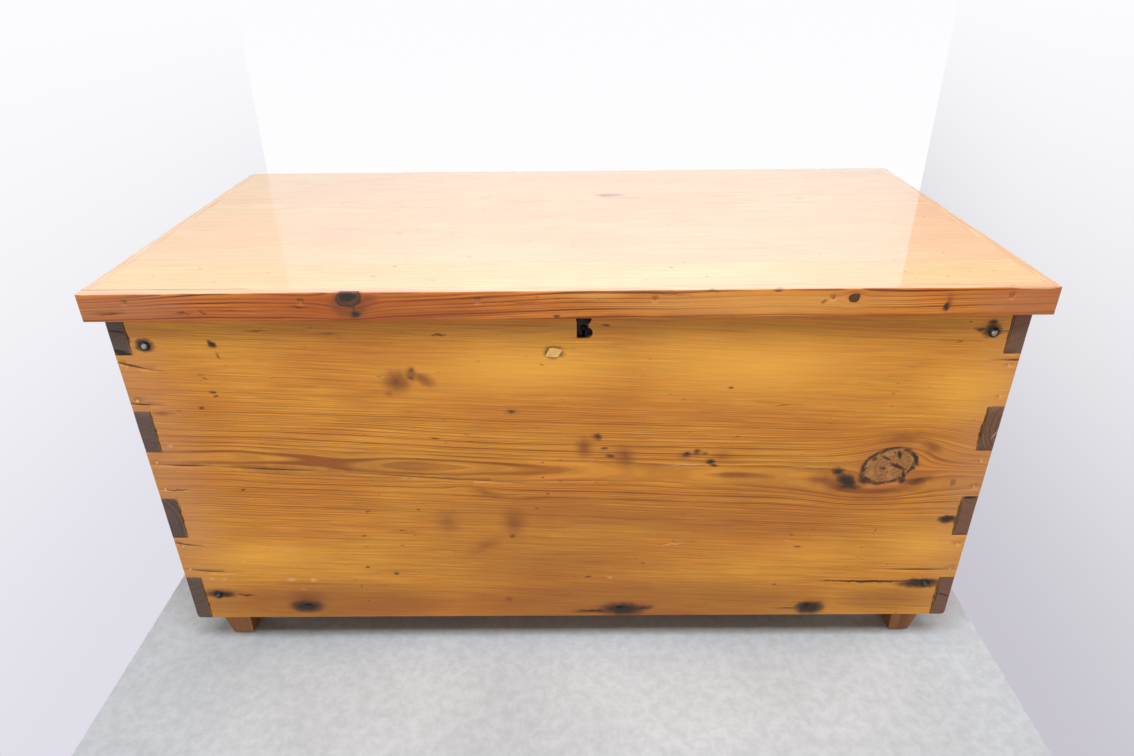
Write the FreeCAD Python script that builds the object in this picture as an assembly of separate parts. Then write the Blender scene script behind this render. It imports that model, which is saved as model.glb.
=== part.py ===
import FreeCAD, Part
import math
import os

# Antique pine blanket chest, in millimetres.
# Origin: floor level, under the middle of the lid. +X right, +Y to the back, +Z up.

Vector = FreeCAD.Vector

# Case
case_width = 1187.0
case_depth = 581.0
case_height = 536.0
wall_thickness = 23.0
foot_height = 58.0            # floor up to the lower edge of the case walls
arris_radius = 2.0            # worn edges of the case
case_lower_radius = 9.0       # worn lower corners, seen from the front

# Box joints at the corners: seven fingers, the side boards show four of them on the front
finger_count = 7
joint_crack = 1.4             # dark crack between a side finger and the end of its notch
left_cut_offsets = (8.0, 10.0, 6.0, 10.0, 0.0, 9.0)
right_cut_offsets = (1.5, 7.0, 2.0, 4.0, -2.0, 2.0)
rear_cut_offsets = (3.0, -2.0, 4.0, 1.0, -3.0, 2.0)

# Bottom boards, between the walls
bottom_thickness = 22.0
bottom_recess = 9.0           # underside above the lower edge of the walls
bottom_board_count = 3
bottom_notch_clearance = 0.5

# Corner posts, whose lower ends are the feet
post_width = 41.0             # across the chest
post_length = 48.0            # along it
post_below_rim = 12.0
foot_outer_taper = 17.0       # towards the chest's end
foot_inner_taper = 1.0
foot_front_taper = 0.5        # towards the nearer long wall
foot_rear_taper = 3.0
foot_round = 3.0

# Lid
lid_overhang = 16.5
lid_gap = 0.3                 # lid panel above the rim
panel_thickness = 25.0
strip_thickness = 15.0
strip_height = 38.0
front_panel_width = 83.0      # narrow front board of the lid
lid_arris = 2.5
lid_front_corner = 3.0
lid_left_rear_corner = 20.0
lid_right_rear_corner = 15.0

# Keyhole and plug in the front board
keyhole_x = 22.0
keyhole_top = 10.0            # below the rim
keyhole_bottom = 48.0
keyhole_left = 9.0
keyhole_right = 6.0
keyhole_head_radius = 10.0
keyhole_wear_radius = 8.0
keyhole_wear_shift = 3.5
plug_x = -17.0
plug_drop = 68.0              # middle of the plug below the rim
plug_depth = 5.0
plug_half_length = 11.0
plug_half_height = 7.0
plug_slant = 5.0

# Chest lock, let into the inner face of the front board
lock_plate_width = 110.0
lock_plate_height = 68.0
lock_plate_thickness = 2.5
lock_selvedge_depth = 17.0
lock_box_width = 92.0
lock_box_height = 60.0
lock_box_depth = 16.0
lock_clearance = 0.5
cap_thickness = 1.0
pillar_radius = 2.0
pillar_slot_clearance = 0.2
guide_pillar_spacing = 60.0
lower_pillar_spacing = 76.0
lower_pillar_drop = 52.0
key_drop = 36.0               # key axis below the rim
key_post_radius = 2.0
key_post_projection = 1.5
cap_keyhole_radius = 4.2
cap_slot_width = 3.4
cap_slot_length = 12.0

# Bolt with two prongs and its back spring
bolt_throw = 9.0
bolt_thickness = 4.0
bolt_bar_height = 9.0
bolt_bar_drop = 18.0          # top of the bar below the rim
bolt_bar_left = 44.0
bolt_bar_right = 34.0
prong_height = 5.0
prong_drop = 7.0
prong_riser_width = 6.0
prong_gap = 2.0               # tip to staple when unlocked
talon_width = 10.0
talon_depth = 3.0
spring_thickness = 0.8
spring_clearance = 0.3

# Keeper under the lid
keeper_length = 84.0
keeper_width = 16.0
keeper_thickness = 2.5
staple_spacing = 44.0
staple_thickness = 3.0
staple_width = 8.0
staple_drop = 16.5
staple_inset = 9.5            # staple middle in front of the board's inner face
staple_clearance = 1.2
eye_width = 5.2
eye_height = 8.0
eye_drop = 5.5
keeper_screw_spacing = 68.0

# Butt hinges
hinge_end_distance = 213.5    # hinge middle from the end of the case
hinge_length = 76.0
hinge_leaf_width = 20.0
hinge_leaf_thickness = 2.2
barrel_radius = 4.0
barrel_clearance = 0.4
knuckle_count = 5
knuckle_gap = 0.2
hinge_pin_radius = 2.3
pin_running_clearance = 0.05
pin_head_radius = 3.2
pin_head_length = 2.0
groove_clearance = 0.5
hinge_screw_spacing = 28.0
hinge_screw_inset = 11.0      # from the wall's outer face

# Screws, nails and brads
screw_head_radius = 3.8
screw_head_depth = 2.0
screw_radius = 1.9
screw_slot_width = 1.0
screw_slot_depth = 0.8
hinge_screw_length = 20.0
lock_screw_length = 17.0
lock_screw_inset = 5.0        # from the plate's edges
keeper_screw_length = 16.0
dome_radius = 7.0
dome_height = 3.0
post_nail_thickness = 4.0
post_nail_length = 55.0
post_nail_tip = 1.6
cut_nail_thickness = 3.2
cut_nail_length = 58.0
cut_nail_tip = 1.4
cut_nail_head_length = 8.0
cut_nail_head_width = 4.5
cut_nail_head_depth = 1.5
brad_radius = 1.0
brad_length = 42.0
brad_head_radius = 1.5
brad_head_depth = 1.5
filling_radius = 2.0
filling_depth = 2.0
brad_edge_distance = 12.0
brad_finger_inset = 17.0

# Nail places
left_post_nails = (49.0, 54.0)      # lower one above the case's lower edge, upper one below the rim
right_post_nails = (65.0, 44.0)
side_post_nails = (80.0, 31.0)
front_left_nail = 181.5             # bottom nails, from the left end of the case
front_middle_nail = 79.0            # from the middle of the case
front_right_nail = 221.5            # from the right end of the case
front_nail_rises = (4.0, -3.0, 0.0)   # off the mid-plane of the bottom boards
back_nail_count = 4
back_nail_margin = 200.0
end_nail_count = 6
end_nail_margin = 9.0               # from the posts
front_strip_nail_count = 6
front_strip_nail_margin = 60.0
side_strip_nail_count = 5
side_strip_nail_margin = 40.0

# Levels and faces worked out from the sizes above
case_bottom = foot_height
case_top = case_bottom + case_height
half_width = case_width / 2
half_depth = case_depth / 2
inner_half_width = half_width - wall_thickness
inner_half_depth = half_depth - wall_thickness
lid_half_width = half_width + lid_overhang
lid_half_depth = half_depth + lid_overhang
panel_bottom = case_top + lid_gap
lid_top = panel_bottom + panel_thickness
strip_bottom = lid_top - strip_height
finger_pitch = case_height / finger_count
bottom_low = case_bottom + bottom_recess
bottom_middle = bottom_low + bottom_thickness / 2
post_top = case_top - post_below_rim
front_inner_face = -inner_half_depth
staple_y = front_inner_face - staple_inset
hinge_axis_y = half_depth + barrel_radius + barrel_clearance
hinge_axis_z = case_top + lid_gap / 2
key_z = case_top - key_drop
hinge_x = half_width - hinge_end_distance
cap_back = front_inner_face - lock_box_depth + lock_clearance + cap_thickness


def block(low, high):
    """Box between two opposite corners."""
    size = [b - a for a, b in zip(low, high)]
    return Part.makeBox(size[0], size[1], size[2], Vector(*low))


def rounded_bar(low, high, axis, radii):
    """Box whose four edges along one axis are rounded, radii in turning order."""
    first, second = [i for i in range(3) if i != axis]
    turns = ((low, low), (high, low), (high, high), (low, high))
    corners = []
    for a, b in turns:
        point = list(low)
        point[first] = a[first]
        point[second] = b[second]
        corners.append(Vector(*point))
    edges = []
    ends = []
    for i, corner in enumerate(corners):
        back = (corners[i - 1] - corner).normalize()
        ahead = (corners[(i + 1) % 4] - corner).normalize()
        start = corner + back * radii[i]
        end = corner + ahead * radii[i]
        middle = corner + (back + ahead) * (radii[i] * (1 - math.sqrt(0.5)))
        ends.append((start, end))
        edges.append(Part.Arc(start, middle, end).toShape())
    for i in range(4):
        edges.append(Part.makeLine(ends[i - 1][1], ends[i][0]))
    length = [0.0, 0.0, 0.0]
    length[axis] = high[axis] - low[axis]
    wire = Part.Wire(Part.__sortEdges__(edges))
    return Part.Face(wire).extrude(Vector(*length))


def envelope(low, high, plan, front, side):
    """Box with worn edges: radii in plan, front view and side view."""
    shape = rounded_bar(low, high, 2, plan)
    shape = shape.common(rounded_bar(low, high, 1, front))
    return shape.common(rounded_bar(low, high, 0, side))


def polygon_prism(points, direction):
    """Straight-sided outline pushed out along a vector."""
    corners = [Vector(*p) for p in points]
    wire = Part.makePolygon(corners + corners[:1])
    return Part.Face(wire).extrude(Vector(*direction))


def placed(shape, point, direction):
    """Turn a piece made along +Z from the origin and set it at a point."""
    turn = FreeCAD.Rotation(Vector(0, 0, 1), Vector(*direction))
    result = shape.copy()
    result.Placement = FreeCAD.Placement(Vector(*point), turn)
    return result


def square(width, height):
    """Square outline centred on Z at a height."""
    a = width / 2
    turns = ((-a, -a), (a, -a), (a, a), (-a, a), (-a, -a))
    return Part.makePolygon([Vector(x, y, height) for x, y in turns])


def tapered_shank(thickness, tip, start, length):
    """Square shank that narrows to its tip."""
    wires = [square(thickness, start), square(tip, start + length)]
    return Part.makeLoft(wires, True, True)


def dome_nail():
    """Large nail with a domed head that stands on the board; +Z goes into the wood."""
    sphere_radius = (dome_radius ** 2 + dome_height ** 2) / (2 * dome_height)
    dome = Part.makeSphere(sphere_radius, Vector(0, 0, sphere_radius - dome_height))
    dome = dome.common(block((-dome_radius, -dome_radius, -dome_height), (dome_radius, dome_radius, 0)))
    return dome.fuse(tapered_shank(post_nail_thickness, post_nail_tip, 0, post_nail_length))


def cut_nail():
    """Cut nail with a flush rectangular head; +Z goes into the wood."""
    a = cut_nail_head_length / 2
    b = cut_nail_head_width / 2
    head = block((-a, -b, 0), (a, b, cut_nail_head_depth))
    shank = tapered_shank(cut_nail_thickness, cut_nail_tip, cut_nail_head_depth, cut_nail_length)
    return head.fuse(shank)


def brad():
    """Small brad set below the surface; +Z goes into the wood."""
    head = Part.makeCylinder(brad_head_radius, brad_head_depth, Vector(0, 0, filling_depth))
    shank = Part.makeCylinder(brad_radius, brad_length, Vector(0, 0, filling_depth + brad_head_depth))
    return head.fuse(shank)


def filling():
    """Putty disc over a brad."""
    return Part.makeCylinder(filling_radius, filling_depth)


def screw_hole(length):
    """Room for a countersunk screw; +Z goes into the wood."""
    head = Part.makeCone(screw_head_radius, screw_radius, screw_head_depth)
    point_length = 2 * screw_radius
    straight = length - screw_head_depth - point_length
    shank = Part.makeCylinder(screw_radius, straight, Vector(0, 0, screw_head_depth))
    point = Part.makeCone(screw_radius, screw_radius / 3, point_length, Vector(0, 0, length - point_length))
    return head.fuse([shank, point]).removeSplitter()


def screw(length):
    """The screw itself, with its slot."""
    slot = block((-screw_head_radius, -screw_slot_width / 2, 0),
                 (screw_head_radius, screw_slot_width / 2, screw_slot_depth))
    return screw_hole(length).cut(slot)


def cut_heights(offsets):
    """Heights of the finger cuts, floor to rim, each a little off the even spacing."""
    heights = [case_bottom]
    for i, offset in enumerate(offsets):
        heights.append(case_bottom + (i + 1) * finger_pitch + offset)
    heights.append(case_top)
    return heights


corner_cuts = {
    (-1, -1): cut_heights(left_cut_offsets),
    (1, -1): cut_heights(right_cut_offsets),
    (-1, 1): cut_heights(rear_cut_offsets),
    (1, 1): cut_heights(rear_cut_offsets[::-1]),
}


def finger_levels(end, wall, first):
    """Low and high of every second finger at a corner."""
    heights = corner_cuts[(end, wall)]
    return [(heights[i], heights[i + 1]) for i in range(first, finger_count, 2)]


# Nails and brads, each a list of (place, direction), gathered as they are set out
def post_nail_places():
    places = []
    for end, (rise, drop) in ((-1, left_post_nails), (1, right_post_nails)):
        x = end * (inner_half_width - post_width / 2)
        for wall in (-1, 1):
            for z in (case_bottom + rise, case_top - drop):
                places.append(((x, wall * half_depth, z), (0, -wall, 0)))
    rise, drop = side_post_nails
    for end in (-1, 1):
        for wall in (-1, 1):
            y = wall * (inner_half_depth - post_width / 2)
            for z in (case_bottom + rise, case_top - drop):
                places.append(((end * half_width, y, z), (-end, 0, 0)))
    return places


def evenly(first, last, count):
    return [first + (last - first) * i / (count - 1) for i in range(count)]


def bottom_nail_places():
    places = []
    front = (-half_width + front_left_nail, front_middle_nail, half_width - front_right_nail)
    for x, rise in zip(front, front_nail_rises):
        places.append(((x, -half_depth, bottom_middle + rise), (0, 1, 0)))
    reach = half_width - back_nail_margin
    for x in evenly(-reach, reach, back_nail_count):
        places.append(((x, half_depth, bottom_middle), (0, -1, 0)))
    reach = inner_half_depth - post_width - end_nail_margin
    for end in (-1, 1):
        for y in evenly(-reach, reach, end_nail_count):
            places.append(((end * half_width, y, bottom_middle), (-end, 0, 0)))
    return places


def finger_brad_places():
    places = []
    for end in (-1, 1):
        for wall in (-1, 1):
            x = end * (half_width - brad_edge_distance)
            for low, high in finger_levels(end, wall, 1):
                for z in (low + brad_finger_inset, high - brad_finger_inset):
                    places.append(((x, wall * half_depth, z), (0, -wall, 0)))
            y = wall * (half_depth - brad_edge_distance)
            for low, high in finger_levels(end, wall, 0):
                for z in (low + brad_finger_inset, high - brad_finger_inset):
                    places.append(((end * half_width, y, z), (-end, 0, 0)))
    return places


def strip_brad_places():
    z = panel_bottom + panel_thickness / 2
    reach = lid_half_width - front_strip_nail_margin
    places = [((x, -lid_half_depth, z), (0, 1, 0)) for x in evenly(-reach, reach, front_strip_nail_count)]
    first = -lid_half_depth + strip_thickness + side_strip_nail_margin
    last = lid_half_depth - side_strip_nail_margin
    for end in (-1, 1):
        for y in evenly(first, last, side_strip_nail_count):
            places.append(((end * lid_half_width, y, z), (-end, 0, 0)))
    return places


def set_all(piece, places):
    return [placed(piece, point, direction) for point, direction in places]


post_nails = set_all(dome_nail(), post_nail_places())
bottom_nails = set_all(cut_nail(), bottom_nail_places())
finger_brads = set_all(brad(), finger_brad_places())
finger_fillings = set_all(filling(), finger_brad_places())
strip_brads = set_all(brad(), strip_brad_places())
strip_fillings = set_all(filling(), strip_brad_places())
case_fasteners = post_nails + bottom_nails + finger_brads + finger_fillings


def without(shape, tools):
    """Cut away only the tools that reach the shape."""
    near = [tool for tool in tools if tool.BoundBox.intersect(shape.BoundBox)]
    return shape.cut(near) if near else shape


def lock_screw_places():
    inset = lock_screw_inset
    places = []
    for end in (-1, 1):
        for z in (case_top - lock_plate_thickness - 2 * inset, case_top - lock_plate_height + inset):
            x = keyhole_x + end * (lock_plate_width / 2 - inset)
            places.append(((x, front_inner_face, z), (0, -1, 0)))
    return places


def keeper_screw_places():
    reach = keeper_screw_spacing / 2
    return [((keyhole_x + end * reach, staple_y, panel_bottom), (0, 0, 1)) for end in (-1, 1)]


def hinge_screw_places(direction, level):
    places = []
    for end in (-1, 1):
        for i in (-1, 0, 1):
            x = end * hinge_x + i * hinge_screw_spacing
            places.append(((x, half_depth - hinge_screw_inset, level), (0, 0, direction)))
    return places


# Case boards
def case_envelope():
    low = (-half_width, -half_depth, case_bottom)
    high = (half_width, half_depth, case_top)
    worn = (arris_radius,) * 4
    lower = (case_lower_radius, case_lower_radius, arris_radius / 4, arris_radius / 4)
    edge = (arris_radius, arris_radius, arris_radius / 4, arris_radius / 4)
    return envelope(low, high, worn, lower, edge)


def keyhole_cutter():
    top = case_top - keyhole_top
    bottom = case_top - keyhole_bottom
    start = -half_depth - 1
    length = wall_thickness
    slot = block((keyhole_x - keyhole_left, start, bottom),
                 (keyhole_x + keyhole_right, start + length, top - keyhole_head_radius))
    head = Part.makeCylinder(keyhole_head_radius, length,
                             Vector(keyhole_x, start, top - keyhole_head_radius), Vector(0, 1, 0))
    wear = Part.makeCylinder(keyhole_wear_radius, length,
                             Vector(keyhole_x + keyhole_wear_shift, start, bottom + keyhole_wear_radius),
                             Vector(0, 1, 0))
    return slot.fuse([head, wear])


def plug():
    z = case_top - plug_drop
    a = plug_half_length
    b = plug_half_height
    points = [(-a, -b + 2), (-a + plug_slant, b - 1), (0, b), (a, b - 3), (a - plug_slant, -b + 1), (-1, -b)]
    outline = [(plug_x + x, -half_depth, z + dz) for x, dz in points]
    return polygon_prism(outline, (0, plug_depth, 0))


def lock_recess():
    """Pocket for the works and the let-in plate and selvedge."""
    x = keyhole_x
    y = front_inner_face
    pocket = block((x - lock_box_width / 2, y - lock_box_depth, case_top - lock_box_height),
                   (x + lock_box_width / 2, y, case_top))
    plate = block((x - lock_plate_width / 2, y - lock_plate_thickness, case_top - lock_plate_height),
                  (x + lock_plate_width / 2, y, case_top))
    selvedge = block((x - lock_plate_width / 2, y - lock_selvedge_depth, case_top - lock_plate_thickness),
                     (x + lock_plate_width / 2, y, case_top))
    return pocket.fuse([plate, selvedge])


def long_wall(wall):
    """Front or back board with notches for the side fingers."""
    low = (-half_width, min(wall * half_depth, wall * inner_half_depth), case_bottom)
    high = (half_width, max(wall * half_depth, wall * inner_half_depth), case_top)
    board = block(low, high)
    notches = []
    for end in (-1, 1):
        inner = end * (inner_half_width - joint_crack)
        outer = end * (half_width + 1)
        for bottom, top in finger_levels(end, wall, 0):
            notches.append(block((min(inner, outer), low[1], bottom), (max(inner, outer), high[1], top)))
    return board.cut(notches).common(case_envelope())


def side_wall(end):
    """Side board with notches for the front and back fingers."""
    low = (min(end * half_width, end * inner_half_width), -half_depth, case_bottom)
    high = (max(end * half_width, end * inner_half_width), half_depth, case_top)
    board = block(low, high)
    notches = []
    for wall in (-1, 1):
        inner = wall * inner_half_depth
        outer = wall * (half_depth + 1)
        for bottom, top in finger_levels(end, wall, 1):
            notches.append(block((low[0], min(inner, outer), bottom), (high[0], max(inner, outer), top)))
    return board.cut(notches).common(case_envelope())


def bottom_board(index):
    pitch = 2 * inner_half_depth / bottom_board_count
    low = (-inner_half_width, -inner_half_depth + index * pitch, bottom_low)
    high = (inner_half_width, low[1] + pitch, bottom_low + bottom_thickness)
    board = block(low, high)
    notch_length = post_length + bottom_notch_clearance
    notch_width = post_width + bottom_notch_clearance
    notches = []
    for end in (-1, 1):
        for wall in (-1, 1):
            x0, x1 = sorted((end * inner_half_width, end * (inner_half_width - notch_length)))
            y0, y1 = sorted((wall * inner_half_depth, wall * (inner_half_depth - notch_width)))
            notches.append(block((x0, y0, bottom_low), (x1, y1, high[2])))
    return without(board, notches)


def corner_post(end, wall):
    """Post whose end below the case tapers to a foot."""
    outer_x = end * inner_half_width
    inner_x = end * (inner_half_width - post_length)
    outer_y = wall * inner_half_depth
    inner_y = wall * (inner_half_depth - post_width)

    def outline(z, out_x, in_x, out_y, in_y):
        xs = sorted((outer_x - end * out_x, inner_x + end * in_x))
        ys = sorted((outer_y - wall * out_y, inner_y + wall * in_y))
        turns = ((0, 0), (1, 0), (1, 1), (0, 1), (0, 0))
        return Part.makePolygon([Vector(xs[i], ys[j], z) for i, j in turns])

    shaft = Part.Face(outline(case_bottom, 0, 0, 0, 0)).extrude(Vector(0, 0, post_top - case_bottom))
    share = foot_round / foot_height
    above = [(1 - share) * t for t in (foot_outer_taper, foot_inner_taper, foot_front_taper, foot_rear_taper)]
    below = [t + foot_round for t in (foot_outer_taper, foot_inner_taper, foot_front_taper, foot_rear_taper)]
    foot = Part.makeLoft([outline(foot_round, *above), outline(case_bottom, 0, 0, 0, 0)], True, True)
    toe = Part.makeLoft([outline(0, *below), outline(foot_round, *above)], True, True)
    return shaft.fuse([foot, toe])


# Lid pieces
def lid_envelope():
    low = (-lid_half_width, -lid_half_depth, strip_bottom)
    high = (lid_half_width, lid_half_depth, lid_top)
    plan = (lid_front_corner, lid_front_corner, lid_right_rear_corner, lid_left_rear_corner)
    front = (lid_front_corner, lid_front_corner, lid_arris, lid_arris)
    side = (lid_arris / 2, lid_arris / 2, lid_arris, lid_arris)
    return envelope(low, high, plan, front, side)


def hinge_mortises(level_low, level_high):
    """Room for the leaves, from the wall's outer face inwards."""
    rooms = []
    for end in (-1, 1):
        x = end * hinge_x
        rooms.append(block((x - hinge_length / 2, half_depth - hinge_leaf_width, level_low),
                           (x + hinge_length / 2, half_depth, level_high)))
    return rooms


def barrel_grooves():
    """Room for the barrels in the underside of the lid's rear edge."""
    reach = barrel_radius + groove_clearance
    half_length = hinge_length / 2 + pin_head_length + groove_clearance
    rooms = []
    for end in (-1, 1):
        x = end * hinge_x
        rooms.append(block((x - half_length, hinge_axis_y - reach, panel_bottom),
                           (x + half_length, hinge_axis_y + reach, hinge_axis_z + reach)))
    return rooms


def keeper_room():
    a = keeper_length / 2
    b = keeper_width / 2
    return block((keyhole_x - a, staple_y - b, panel_bottom),
                 (keyhole_x + a, staple_y + b, panel_bottom + keeper_thickness))


def lid_panel(front, back):
    side = lid_half_width - strip_thickness
    board = block((-side, front, panel_bottom), (side, back, lid_top)).common(lid_envelope())
    tools = strip_brads + strip_fillings + barrel_grooves() + [keeper_room()]
    tools = tools + hinge_mortises(panel_bottom, panel_bottom + hinge_leaf_thickness)
    tools = tools + set_all(screw_hole(hinge_screw_length), hinge_screw_places(1, panel_bottom))
    tools = tools + set_all(screw_hole(keeper_screw_length), keeper_screw_places())
    return without(board, tools)


def lid_strip(low_x, high_x, front, back):
    strip = block((low_x, front, strip_bottom), (high_x, back, lid_top)).common(lid_envelope())
    return without(strip, strip_brads + strip_fillings)


# Hinges
def hinge_round(radius, start, length):
    """Cylinder on the hinge axis."""
    return Part.makeCylinder(radius, length, Vector(start, hinge_axis_y, hinge_axis_z), Vector(1, 0, 0))


def hinge_leaf(end, own, low, high, screws):
    """Leaf with its knuckles; own is 0 for the case's odd-numbered ones, 1 for the lid's."""
    first = end * hinge_x - hinge_length / 2
    leaf = block((first, half_depth - hinge_leaf_width, low), (first + hinge_length, half_depth, high))
    pitch = hinge_length / knuckle_count
    bore = hinge_pin_radius + pin_running_clearance
    pieces = []
    for i in range(own, knuckle_count, 2):
        start = first + i * pitch + knuckle_gap / 2
        length = pitch - knuckle_gap
        pieces.append(block((start, half_depth - 1, low), (start + length, hinge_axis_y, high)))
        pieces.append(hinge_round(barrel_radius, start, length))
    hole = hinge_round(bore, first, hinge_length)
    return without(leaf.fuse(pieces).removeSplitter().cut(hole), screws)


def hinge_pin(end):
    first = end * hinge_x - hinge_length / 2
    last = first + hinge_length
    pin = hinge_round(hinge_pin_radius, first, hinge_length)
    starts = (first - pin_head_length, last)
    heads = [hinge_round(pin_head_radius, start, pin_head_length) for start in starts]
    return pin.fuse(heads).removeSplitter()


# Lock pieces
def pillar_places():
    """Across and below the rim: two guide pillars in the bolt's slots, two lower ones."""
    guide = bolt_bar_drop + bolt_bar_height / 2
    places = []
    for end in (-1, 1):
        places.append((keyhole_x + end * guide_pillar_spacing / 2, case_top - guide))
        places.append((keyhole_x + end * lower_pillar_spacing / 2, case_top - lower_pillar_drop))
    return places


def pillars():
    length = front_inner_face - cap_back + cap_thickness
    return [Part.makeCylinder(pillar_radius, length, Vector(x, front_inner_face, z), Vector(0, -1, 0))
            for x, z in pillar_places()]


def key_post():
    length = front_inner_face - cap_back + cap_thickness + key_post_projection
    return Part.makeCylinder(key_post_radius, length, Vector(keyhole_x, front_inner_face, key_z),
                             Vector(0, -1, 0))


def lock_plate():
    x = keyhole_x
    y = front_inner_face
    plate = block((x - lock_plate_width / 2, y - lock_plate_thickness, case_top - lock_plate_height),
                  (x + lock_plate_width / 2, y, case_top))
    selvedge = block((x - lock_plate_width / 2, y - lock_selvedge_depth, case_top - lock_plate_thickness),
                     (x + lock_plate_width / 2, y, case_top))
    tools = set_all(screw_hole(lock_screw_length), lock_screw_places()) + pillars() + [key_post()]
    for end in (-1, 1):
        middle = x + end * staple_spacing / 2
        across = staple_thickness / 2 + staple_clearance
        along = staple_width / 2 + staple_clearance
        tools.append(block((middle - across, staple_y - along, case_top - lock_plate_thickness),
                           (middle + across, staple_y + along, case_top)))
    return plate.fuse(selvedge).removeSplitter().cut(tools)


def lock_cap():
    side = lock_box_width / 2 - lock_clearance
    top = case_top - lock_plate_thickness - lock_clearance
    bottom = case_top - lock_box_height + lock_clearance
    plate = block((keyhole_x - side, cap_back - cap_thickness, bottom), (keyhole_x + side, cap_back, top))
    hole = Part.makeCylinder(cap_keyhole_radius, cap_thickness,
                             Vector(keyhole_x, cap_back, key_z), Vector(0, -1, 0))
    slot = block((keyhole_x - cap_slot_width / 2, cap_back - cap_thickness, key_z - cap_slot_length),
                 (keyhole_x + cap_slot_width / 2, cap_back, key_z))
    return plate.cut(pillars() + [hole, slot])


def lock_bolt():
    """Sliding bar with two hooks that enter the staples' eyes, unlocked."""
    x = keyhole_x
    front = staple_y - bolt_thickness / 2
    back = staple_y + bolt_thickness / 2
    bar_top = case_top - bolt_bar_drop
    bar_bottom = bar_top - bolt_bar_height
    bar = block((x - bolt_bar_left, front, bar_bottom), (x + bolt_bar_right, back, bar_top))
    prong_top = case_top - prong_drop
    pieces = []
    for end in (-1, 1):
        tip = x + end * staple_spacing / 2 - staple_thickness / 2 - prong_gap
        root = tip + prong_gap - bolt_throw - lock_clearance
        pieces.append(block((root - prong_riser_width, front, bar_top), (root, back, prong_top)))
        pieces.append(block((root, front, prong_top - prong_height), (tip, back, prong_top)))
    tools = []
    slot = pillar_radius + pillar_slot_clearance
    z = bar_bottom + bolt_bar_height / 2
    for end in (-1, 1):
        right = x + end * guide_pillar_spacing / 2
        left = right - bolt_throw
        for middle in (left, right):
            tools.append(Part.makeCylinder(slot, bolt_thickness, Vector(middle, front, z), Vector(0, 1, 0)))
        tools.append(block((left, front, z - slot), (right, back, z + slot)))
    tools.append(block((x - talon_width + bolt_throw / 2, front, bar_bottom),
                       (x + bolt_throw / 2, back, bar_bottom + talon_depth)))
    return bar.fuse(pieces).removeSplitter().cut(tools)


def bolt_spring():
    """Bowed strip on the bar that presses up under the selvedge."""
    right_root = keyhole_x + staple_spacing / 2 - staple_thickness / 2 - bolt_throw - lock_clearance
    right = right_root - prong_riser_width - 2 * lock_clearance
    left = keyhole_x - staple_spacing / 2 + staple_thickness + 2 * lock_clearance
    middle = (left + right) / 2
    foot = case_top - bolt_bar_drop
    top = case_top - lock_plate_thickness - spring_clearance
    front = staple_y - bolt_thickness / 2
    t = spring_thickness
    outer = [Vector(left, front, foot), Vector(middle, front, top), Vector(right, front, foot)]
    inner = [Vector(left + t, front, foot), Vector(middle, front, top - t), Vector(right - t, front, foot)]
    edges = [Part.Arc(*outer).toShape(), Part.Arc(*inner).toShape()]
    edges = edges + [Part.makeLine(outer[i], inner[i]) for i in (0, 2)]
    wire = Part.Wire(Part.__sortEdges__(edges))
    return Part.Face(wire).extrude(Vector(0, bolt_thickness, 0))


def keeper():
    """Plate in the lid's underside with two staples that drop through the selvedge."""
    staples = []
    eyes = []
    for end in (-1, 1):
        x = keyhole_x + end * staple_spacing / 2
        a = staple_thickness / 2
        b = staple_width / 2
        round_z = case_top - staple_drop + b
        staples.append(block((x - a, staple_y - b, round_z), (x + a, staple_y + b, panel_bottom)))
        end_round = Part.makeCylinder(b, staple_thickness, Vector(x - a, staple_y, round_z), Vector(1, 0, 0))
        staples.append(end_round)
        eyes.append(block((x - a, staple_y - eye_width / 2, case_top - eye_drop - eye_height),
                          (x + a, staple_y + eye_width / 2, case_top - eye_drop)))
    screws = set_all(screw_hole(keeper_screw_length), keeper_screw_places())
    return keeper_room().fuse(staples).removeSplitter().cut(eyes + screws)


# Assembly
def export(name, shape):
    shape.exportStep(os.path.join("parts", name + ".step"))


def export_group(name, shapes):
    export(name, Part.makeCompound(shapes))


case_hinge_screws = hinge_screw_places(-1, case_top)
lid_hinge_screws = hinge_screw_places(1, panel_bottom)
hinge_hole = screw_hole(hinge_screw_length)
lock_holes = set_all(screw_hole(lock_screw_length), lock_screw_places())

front_tools = case_fasteners + [keyhole_cutter(), lock_recess(), plug()] + lock_holes
export("front_board", without(long_wall(-1), front_tools))
back_tools = case_fasteners + hinge_mortises(case_top - hinge_leaf_thickness, case_top)
export("back_board", without(long_wall(1), back_tools + set_all(hinge_hole, case_hinge_screws)))
export("left_side_board", without(side_wall(-1), case_fasteners))
export("right_side_board", without(side_wall(1), case_fasteners))
for index, name in enumerate(("bottom_front_board", "bottom_middle_board", "bottom_rear_board")):
    export(name, without(bottom_board(index), bottom_nails))
for wall, row in ((-1, "front"), (1, "rear")):
    for end, hand in ((-1, "left"), (1, "right")):
        export("corner_post_" + row + "_" + hand, without(corner_post(end, wall), post_nails))

strip_back = -lid_half_depth + strip_thickness
panel_joint = strip_back + front_panel_width
export("lid_front_board", lid_panel(strip_back, panel_joint))
export("lid_rear_board", lid_panel(panel_joint, lid_half_depth))
export("lid_front_strip", lid_strip(-lid_half_width, lid_half_width, -lid_half_depth, strip_back))
panel_side = lid_half_width - strip_thickness
export("lid_left_strip", lid_strip(-lid_half_width, -panel_side, strip_back, lid_half_depth))
export("lid_right_strip", lid_strip(panel_side, lid_half_width, strip_back, lid_half_depth))

export("lozenge_plug", plug())
export_group("post_nails", post_nails)
export_group("bottom_nails", bottom_nails)
export_group("finger_brads", finger_brads)
export_group("finger_brad_fillings", finger_fillings)
export_group("strip_brads", strip_brads)
export_group("strip_brad_fillings", strip_fillings)

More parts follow.
